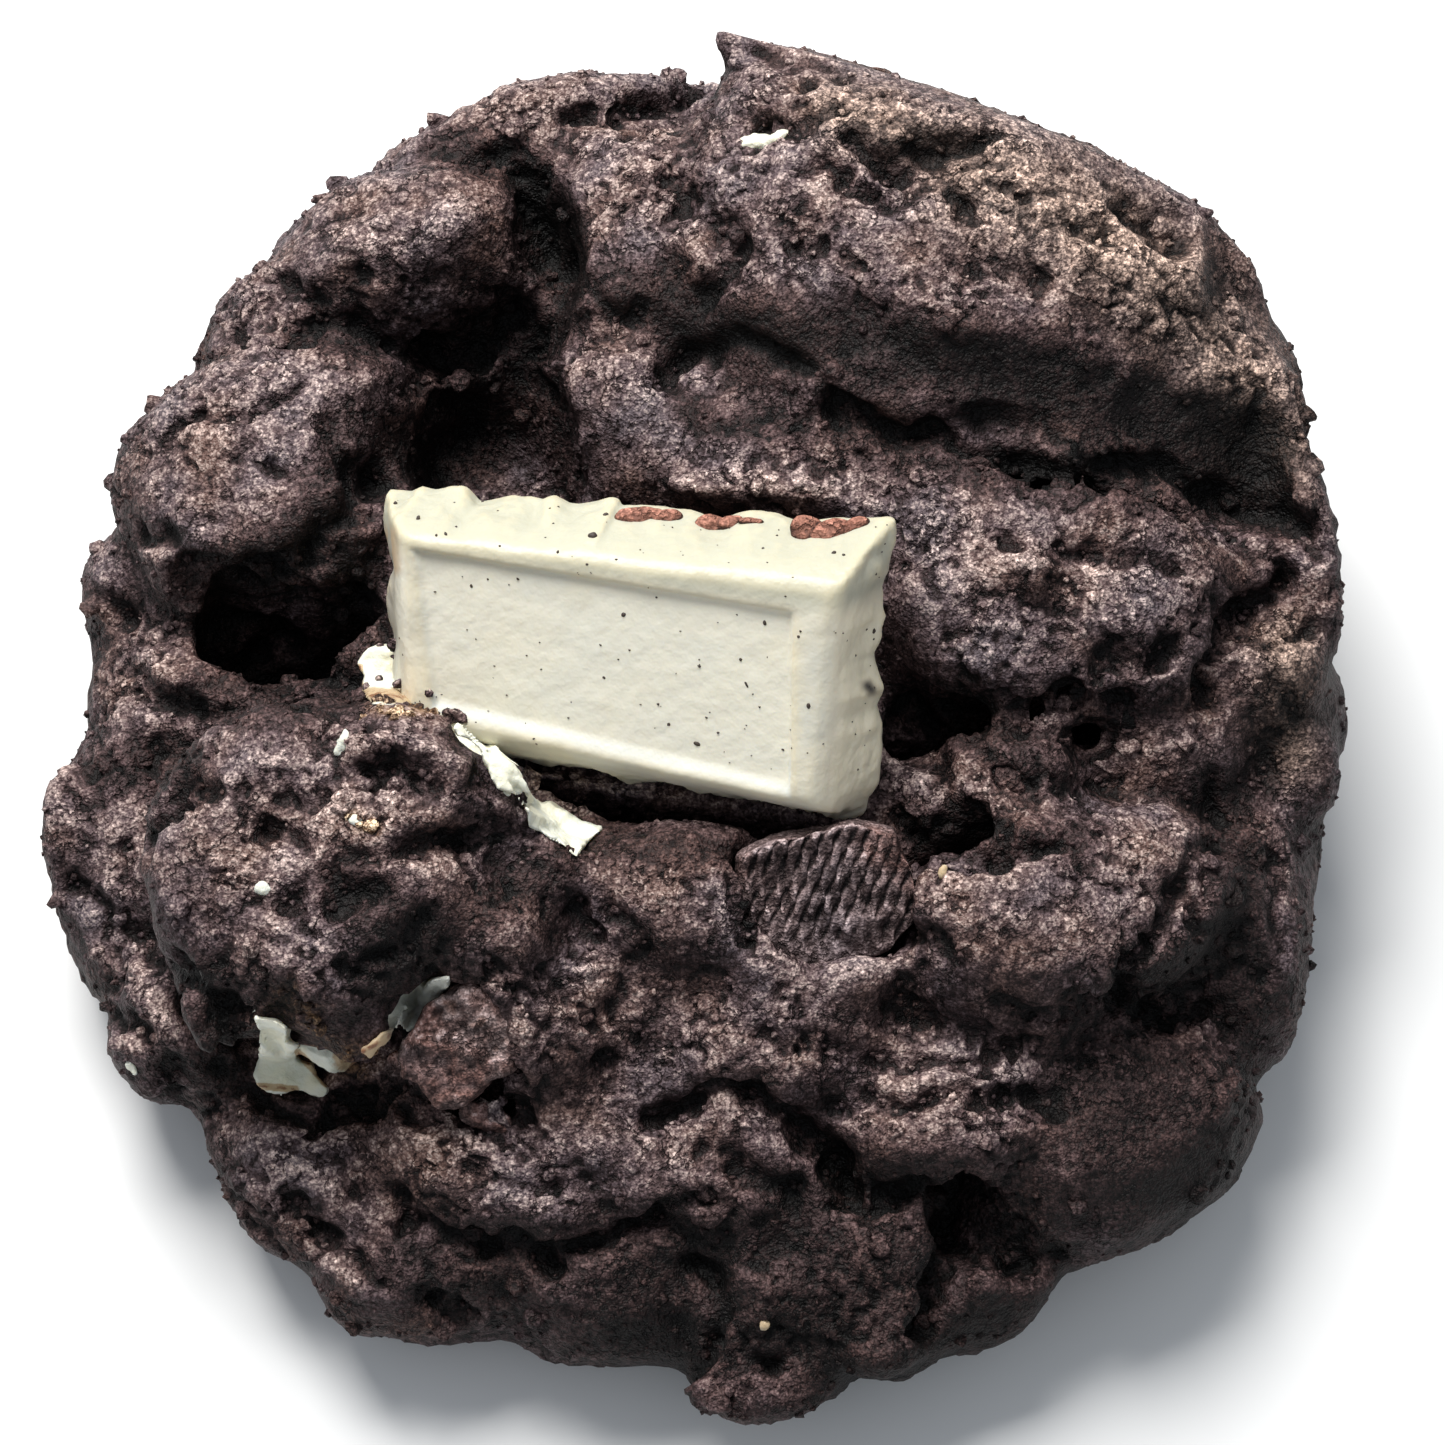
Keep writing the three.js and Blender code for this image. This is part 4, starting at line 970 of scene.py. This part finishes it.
# The largest specks, by where each lies right of and above the middle of the view, and half its size, in mm.
large_specks = {
    "brown crumb": ((-7.5, 13.2), (0.33, 0.30, 0.2), 0, 0.05),
    "far left corner": ((-21.5, 15.5), (0.17, 0.2, 0.12), 0, 0.05),
    "left, upright": ((-19.9, 14.4), (0.14, 0.34, 0.12), -14, 0.05),
    "left, slanting": ((-17.9, 13.3), (0.11, 0.26, 0.12), 24, 0.05),
    "below the far edge": ((-6.6, 14.7), (0.24, 0.18, 0.12), 30, 0.07),
    "far side, middle": ((-7.9, 11.2), (0.13, 0.11, 0.1), 0, 0.04),
    "far side, left": ((-14.1, 12.5), (0.12, 0.12, 0.1), 0, 0.05),
    "far side, right": ((9.6, 12.0), (0.2, 0.16, 0.1), 30, 0.05),
    "far side, far right": ((10.3, 11.85), (0.14, 0.12, 0.1), 0, 0.04),
    "panel, far right": ((4.7, 7.1), (0.14, 0.24, 0.12), 0, 0.05),
    "panel, middle": ((-5.3, 7.7), (0.18, 0.24, 0.12), -30, 0.06),
    "panel, left": ((-16.1, 9.7), (0.13, 0.18, 0.1), 0, 0.05),
    "panel, right": ((3.0, 4.5), (0.14, 0.15, 0.1), 0, 0.04),
    "panel, low right": ((3.4, 2.7), (0.12, 0.28, 0.1), 28, 0.05),
    "panel, low": ((-6.7, 3.2), (0.15, 0.12, 0.1), 0, 0.04),
    "foot of the panel": ((-0.1, -1.5), (0.28, 0.18, 0.14), -14, 0.05),
    "foot of the panel, left": ((-2.1, -0.1), (0.2, 0.14, 0.1), 40, 0.06),
    "rim, right": ((7.1, 6.1), (0.14, 0.13, 0.1), 0, 0.04),
    "rim, low right": ((7.8, 1.2), (0.17, 0.24, 0.12), 0, 0.05),
    "right side, upper": ((12.4, 6.5), (0.17, 0.22, 0.12), 0, 0.05),
    "right side, beside it": ((11.9, 6.6), (0.12, 0.12, 0.1), 0, 0.05),
    "near edge": ((4.3, -6.0), (0.45, 0.16, 0.15), -12, 0.05),
}
specks = blobs("large_specks", bar_skin, large_specks, 0.07 * mm, 0.04 * mm, 0.2 * mm)
finished(specks, dark_speck)

# ---------------------------------------------------------------- melted white piece
# A second segment of the same bar, buried under the near left lump. It has melted where it shows:
# a toasted tip beside the bar, a strip down the lump's right side, and a patch at its foot.
shown_white = {
    "tip": [(-24.3, 4.2), (-23.6, 5.0), (-22.9, 5.4), (-21.9, 5.5), (-21.0, 5.1), (-20.3, 4.1),
            (-19.0, 2.7), (-18.5, 2.1), (-18.8, 1.4), (-21.2, 1.2), (-23.2, 1.3), (-23.9, 2.3),
            (-23.7, 3.3)],
    "strip": [(-17.3, -0.1), (-16.1, 0.0), (-15.4, -0.8), (-14.1, -2.0), (-12.7, -3.4), (-11.9, -5.2),
              (-11.2, -5.9), (-12.2, -6.3), (-12.9, -5.0), (-14.2, -4.8), (-14.9, -3.7), (-15.5, -1.9),
              (-16.2, -1.1), (-17.2, -0.9)],
    "triangle": [(-12.2, -6.1), (-11.2, -5.9), (-10.6, -5.6), (-9.7, -6.1), (-8.7, -6.6), (-8.3, -7.1),
                 (-6.8, -7.3), (-6.8, -7.7), (-7.7, -8.3), (-8.3, -8.9), (-8.4, -9.5), (-8.9, -9.5),
                 (-9.4, -8.8), (-10.4, -8.3), (-11.2, -7.7), (-12.1, -7.4)],
    "patch": [(-31.6, -20.4), (-31.2, -21.0), (-30.1, -21.1), (-29.2, -21.7), (-29.3, -22.7),
              (-28.5, -22.9), (-28.6, -23.8), (-27.4, -24.2), (-27.2, -25.1), (-26.2, -26.0),
              (-26.3, -26.5), (-26.9, -26.6), (-27.8, -26.3), (-28.7, -26.1), (-29.5, -26.4),
              (-30.5, -26.2), (-31.3, -25.7), (-31.5, -25.0), (-31.2, -23.8), (-31.1, -22.7),
              (-31.4, -21.5)],
    "grey streak": [(-21.5, -21.5), (-21.2, -20.5), (-20.3, -19.9), (-19.8, -19.0), (-19.0, -18.3),
                    (-17.6, -18.0), (-17.8, -18.7), (-18.5, -19.5), (-19.4, -20.5), (-20.1, -21.5),
                    (-20.8, -22.1)],
    "beige flake": [(-24.0, -23.2), (-23.2, -22.6), (-22.4, -21.9), (-21.9, -21.8), (-22.0, -22.6),
                    (-22.6, -23.0), (-23.3, -23.8)],
}


def sheeted(piece, skin, outlines, above, below):
    """Adds flat sheets to a piece, each an outline in the view plane that is laid on a skin."""
    shape = bmesh.new()
    shape.from_mesh(piece.data)
    for outline in outlines.values():
        on_skin = [met_at(skin, right, up) for right, up in outline]
        middle = met_at(skin, *np.mean(outline, axis=0))
        rings = []
        for lift in (above, -below):
            rim = [shape.verts.new(place + to_camera * lift * mm) for place in on_skin]
            rings.append((rim, shape.verts.new(middle + to_camera * lift * 1.3 * mm)))
        (top, top_middle), (foot, foot_middle) = rings
        for i in range(len(outline)):
            j = (i + 1) % len(outline)
            shape.faces.new((top[j], top[i], top_middle))
            shape.faces.new((foot[i], foot[j], foot_middle))
            shape.faces.new((top[i], top[j], foot[j], foot[i]))
    bmesh.ops.recalc_face_normals(shape, faces=shape.faces)
    shape.to_mesh(piece.data)
    shape.free()
    return piece


shrunk, sunk = 0.84, 1.2
melted = copy_of("sunken_white_piece")
melted.name = "melted_white_piece"
places = read(melted)
middle = places.mean(axis=0)
reshaped(melted, middle + (places - middle) * shrunk - np.array(to_camera) * sunk * mm)
sheeted(melted, even_skin, shown_white, above=0.5, below=1.8)
smoothed(remeshed(melted, 0.2 * mm), 3)
measured(roughened(melted, 0.16 * mm, 1.1 * mm), 5, 0.1 * mm)
marked(melted, "toast", {
    "tip's lower half": (1.9, [(-23.6, 2.0), (-21.4, 1.9), (-19.0, 1.8)]),
    "tip's left edge": (0.8, [(-24.0, 4.0), (-24.0, 2.4)]),
    "patch's lower edge": (0.9, [(-31.4, -25.8), (-28.6, -26.0)]),
    "patch's right edge": (1.0, [(-28.4, -23.4), (-26.4, -25.6)]),
    "beige flake": (2.2, [(-23.8, -23.4), (-22.0, -22.2)]),
    "tongue of the patch": (3.4, [(-25.0, -23.8), (-21.6, -24.6)]),
})
marked(melted, "in_shade", {"grey streak": (4.0, [(-21.0, -21.2), (-17.6, -17.8)])})

melt_white, bench = new_look("melted white chocolate")
spot = bench.node("ShaderNodeTexCoord", out=3)
toast, shade = bench.kept("toast"), bench.kept("in_shade")
speckle = bench.cloud(spot, 0.6 * mm, 3.0)
greyish = bench.cloud(spot, 2.6 * mm, 3.0).between(0.40, 0.64)
colour = bench.mixed(greyish, (0.86, 0.84, 0.68), (0.78, 0.80, 0.70))
colour = bench.mixed((toast * 1.3 + speckle - 0.5).between(0.35, 0.75), colour, (0.56, 0.42, 0.26))
colour = bench.mixed((toast * 0.9 + speckle - 0.5).between(0.75, 1.0), colour, (0.26, 0.12, 0.06))
colour = bench.mixed(shade.held() * 0.75, colour, (0.42, 0.44, 0.42))
bench.feed(bench.shader, {
    "Base Color": colour, "Normal": bench.bump(speckle, 0.18 * mm), "Roughness": 0.45,
    "Subsurface Weight": 0.2, "Subsurface Radius": (1.0, 0.85, 0.6), "Subsurface Scale": 1.0 * mm})
finished(melted, melt_white, "sunken_white_piece")

# ---------------------------------------------------------------- crumbs on the white and white flecks
# Dough that clings to the melted white, golden crumbs round its patch, and small flecks of white
# chocolate baked into the dough. All of it stuck there in the oven.
clinging = blobs("crumbs_on_white", skin_of([dough.data, melted.data, bar.data]), {
    "tip, top": ((-21.5, 5.5), (0.65, 0.4, 0.4), 20, 0.1),
    "tip, top left": ((-22.6, 5.4), (0.35, 0.3, 0.3), 0, 0.1),
    "tip, brown": ((-21.6, 4.6), (0.42, 0.2, 0.2), -20, 0.1),
    "tip, left": ((-22.7, 3.0), (0.3, 0.42, 0.25), -30, 0.1),
    "tip, middle": ((-21.1, 2.9), (0.7, 0.3, 0.25), 16, 0.1),
    "tip, right": ((-19.2, 2.2), (0.4, 0.3, 0.25), -40, 0.1),
    "tip, lower left": ((-23.6, 2.4), (0.3, 0.4, 0.25), 0, 0.1),
    "over the strip": ((-17.3, 0.5), (0.9, 0.5, 0.5), -20, 0.1),
    "over the strip, end": ((-16.7, 0.2), (0.4, 0.35, 0.35), 0, 0.1),
    "pit by the neck": ((-12.5, -5.2), (0.2, 0.7, 0.25), 24, 0.1),
    "lip below the neck": ((-12.8, -6.6), (0.9, 0.6, 0.5), -50, 0.2),
}, 0.14 * mm, 0.2 * mm, 0.5 * mm)
finished(clinging, dough_black)
flecks = blobs("white_flecks", skin_of([dough.data]), {
    "crest": ((4.2, 41.0), (1.5, 0.75, 0.7), 6, 0.0),
    "crest, right": ((5.7, 41.4), (1.2, 0.5, 0.5), 26, 0.0),
    "knob": ((-25.0, -1.2), (0.55, 0.9, 0.5), -36, 0.15),
    "knob, foot": ((-25.5, -2.0), (0.4, 0.5, 0.4), 0, 0.15),
    "below the knob": ((-24.3, -6.9), (0.45, 0.4, 0.3), 0, 0.15),
    "below the knob, right": ((-23.4, -7.3), (0.35, 0.25, 0.2), 0, 0.1),
    "left face": ((-30.9, -11.8), (0.6, 0.45, 0.3), 0, 0.2),
    "left rim": ((-40.2, -24.4), (0.35, 0.7, 0.3), 20, 0.1),
    "right of the ridged wafer": ((17.4, -10.6), (0.3, 0.5, 0.25), -20, 0.1),
    "near side": ((4.6, -42.7), (0.5, 0.35, 0.25), 0, 0.1),
    "crystal in the strip": ((-13.7, -5.0), (0.45, 0.28, 0.2), 0, 0.1),
}, 0.13 * mm, 0.15 * mm, 0.6 * mm)
browned_flecks = {"right of the ridged wafer": (4.0, [(17.4, -10.6)]), "near side": (4.0, [(4.6, -42.7)])}
marked(flecks, "toast", browned_flecks, gain=0.7)
finished(flecks, melt_white)
golden = crumb_look("golden crumb", [
    (0.36, (0.330, 0.200, 0.130)), (0.50, (0.420, 0.250, 0.140)), (0.64, (0.250, 0.120, 0.070))],
    (0.50, 0.40, 0.28))
golden_tree = crumb_tree("golden crumbs", golden, "toasted")
strew(dough, golden_tree, golden, {"golden_crumbs": (0.9, 0.75, 0.8, 2, 6)})

# ---------------------------------------------------------------- biscuit pieces
# Pieces of dark biscuit, baked hard before they were broken into the dough: one still shows the
# close ribs moulded in its top, the other lies at a slant and is redder. Both are bedded in dough.
dark_biscuit = crumb_look("dark biscuit", [
    (0.34, (0.335, 0.260, 0.275)), (0.46, (0.340, 0.250, 0.255)), (0.58, (0.340, 0.235, 0.230)),
    (0.70, (0.350, 0.190, 0.165))], (0.320, 0.265, 0.260), even=0.35)
red_biscuit = crumb_look("red biscuit", [
    (0.34, (0.42, 0.30, 0.30)), (0.46, (0.50, 0.26, 0.22)), (0.58, (0.42, 0.31, 0.30)),
    (0.70, (0.52, 0.23, 0.14))], (0.42, 0.33, 0.32), even=0.35)

# The ribs' pitch and depth and how far down they reach, in mm, and the turn of the line across them.
rib_pitch, rib_depth, ribs_end = 0.94, 0.22, -16.2
rib_turn = math.radians(67)
ribbed = smoothed(remeshed(copy_of("ridged_wafer"), 0.13 * mm), 12)
ribbed.name = "ridged_biscuit"
roughened(ribbed, 0.32 * mm, 2.6 * mm)
places, outward = read(ribbed), read(ribbed, "vertex_normals", "vector")
right, up = facing(places)
worn = lumpy(places, 2.2 * mm)
phase = (right * math.sin(rib_turn) - up * math.cos(rib_turn)) / rib_pitch + worn * 0.16
furrow = (0.5 + 0.5 * np.cos(2 * math.pi * phase)) ** 4
not_worn = eased((up - ribs_end) / 3.0 + 0.1) * eased(worn * 1.1 + 0.95)
furrow *= not_worn * eased((outward @ np.array(to_camera) - 0.5) / 0.3)
reshaped(ribbed, places - outward * (furrow * rib_depth * mm)[:, None])
measured(roughened(ribbed, 0.05 * mm, 0.5 * mm), 7, 0.08 * mm)
finished(ribbed, dark_biscuit, "ridged_wafer")

slanted = daubed(copy_of("plain_wafer"), cad_skin, {
    "far corner": ((-16.4, -19.6), (1.3, 0.9, 0.6), 44, 0.5),
    "left corner": ((-21.3, -24.3), (1.1, 1.0, 0.6), 44, 0.5),
    "near corner": ((-15.2, -28.0), (1.9, 1.1, 0.7), -20, 0.4),
    "near left side": ((-18.9, -27.0), (1.9, 0.9, 0.6), -30, 0.5),
})
smoothed(remeshed(slanted, 0.2 * mm), 6)
slanted.name = "slanted_biscuit"
roughened(slanted, 0.3 * mm, 2.2 * mm)
measured(roughened(slanted, 0.16 * mm, 0.8 * mm), 5, 0.1 * mm)
finished(slanted, red_biscuit, "plain_wafer")

# ---------------------------------------------------------------- table and light
# A plain pale table, one broad soft lamp high behind the cookie, and a pale room round it.
reach = 2.0
corners = [(-reach, -reach, 0), (reach, -reach, 0), (reach, reach, 0), (-reach, reach, 0)]
table = bpy.data.objects.new("table", bpy.data.meshes.new("table"))
table.data.from_pydata(corners, [], [(0, 1, 2, 3)])
bpy.context.scene.collection.objects.link(table)
pale, bench = new_look("pale table")
bench.feed(bench.shader, {"Base Color": (0.93, 0.93, 0.93), "Roughness": 0.9, "Specular IOR Level": 0.1})
table.data.materials.append(pale)

window = bpy.data.lights.new("window", "AREA")
window.size = 0.22
window.energy = 2.75
window.color = (1.0, 0.985, 0.955)
lamp = bpy.data.objects.new("window", window)
lamp.location = (-0.09, 0.22, 0.36)
lamp.rotation_euler = (look_at - lamp.location).to_track_quat("-Z", "Y").to_euler()
bpy.context.scene.collection.objects.link(lamp)
room = bpy.data.worlds.new("room")
room.use_nodes = True
bench = Bench(room.node_tree)
bench.feed(room.node_tree.nodes["Background"].inputs, {"Color": (0.87, 0.93, 1.0), "Strength": 0.40})
bpy.context.scene.world = room
bpy.context.scene.view_settings.view_transform = "Standard"
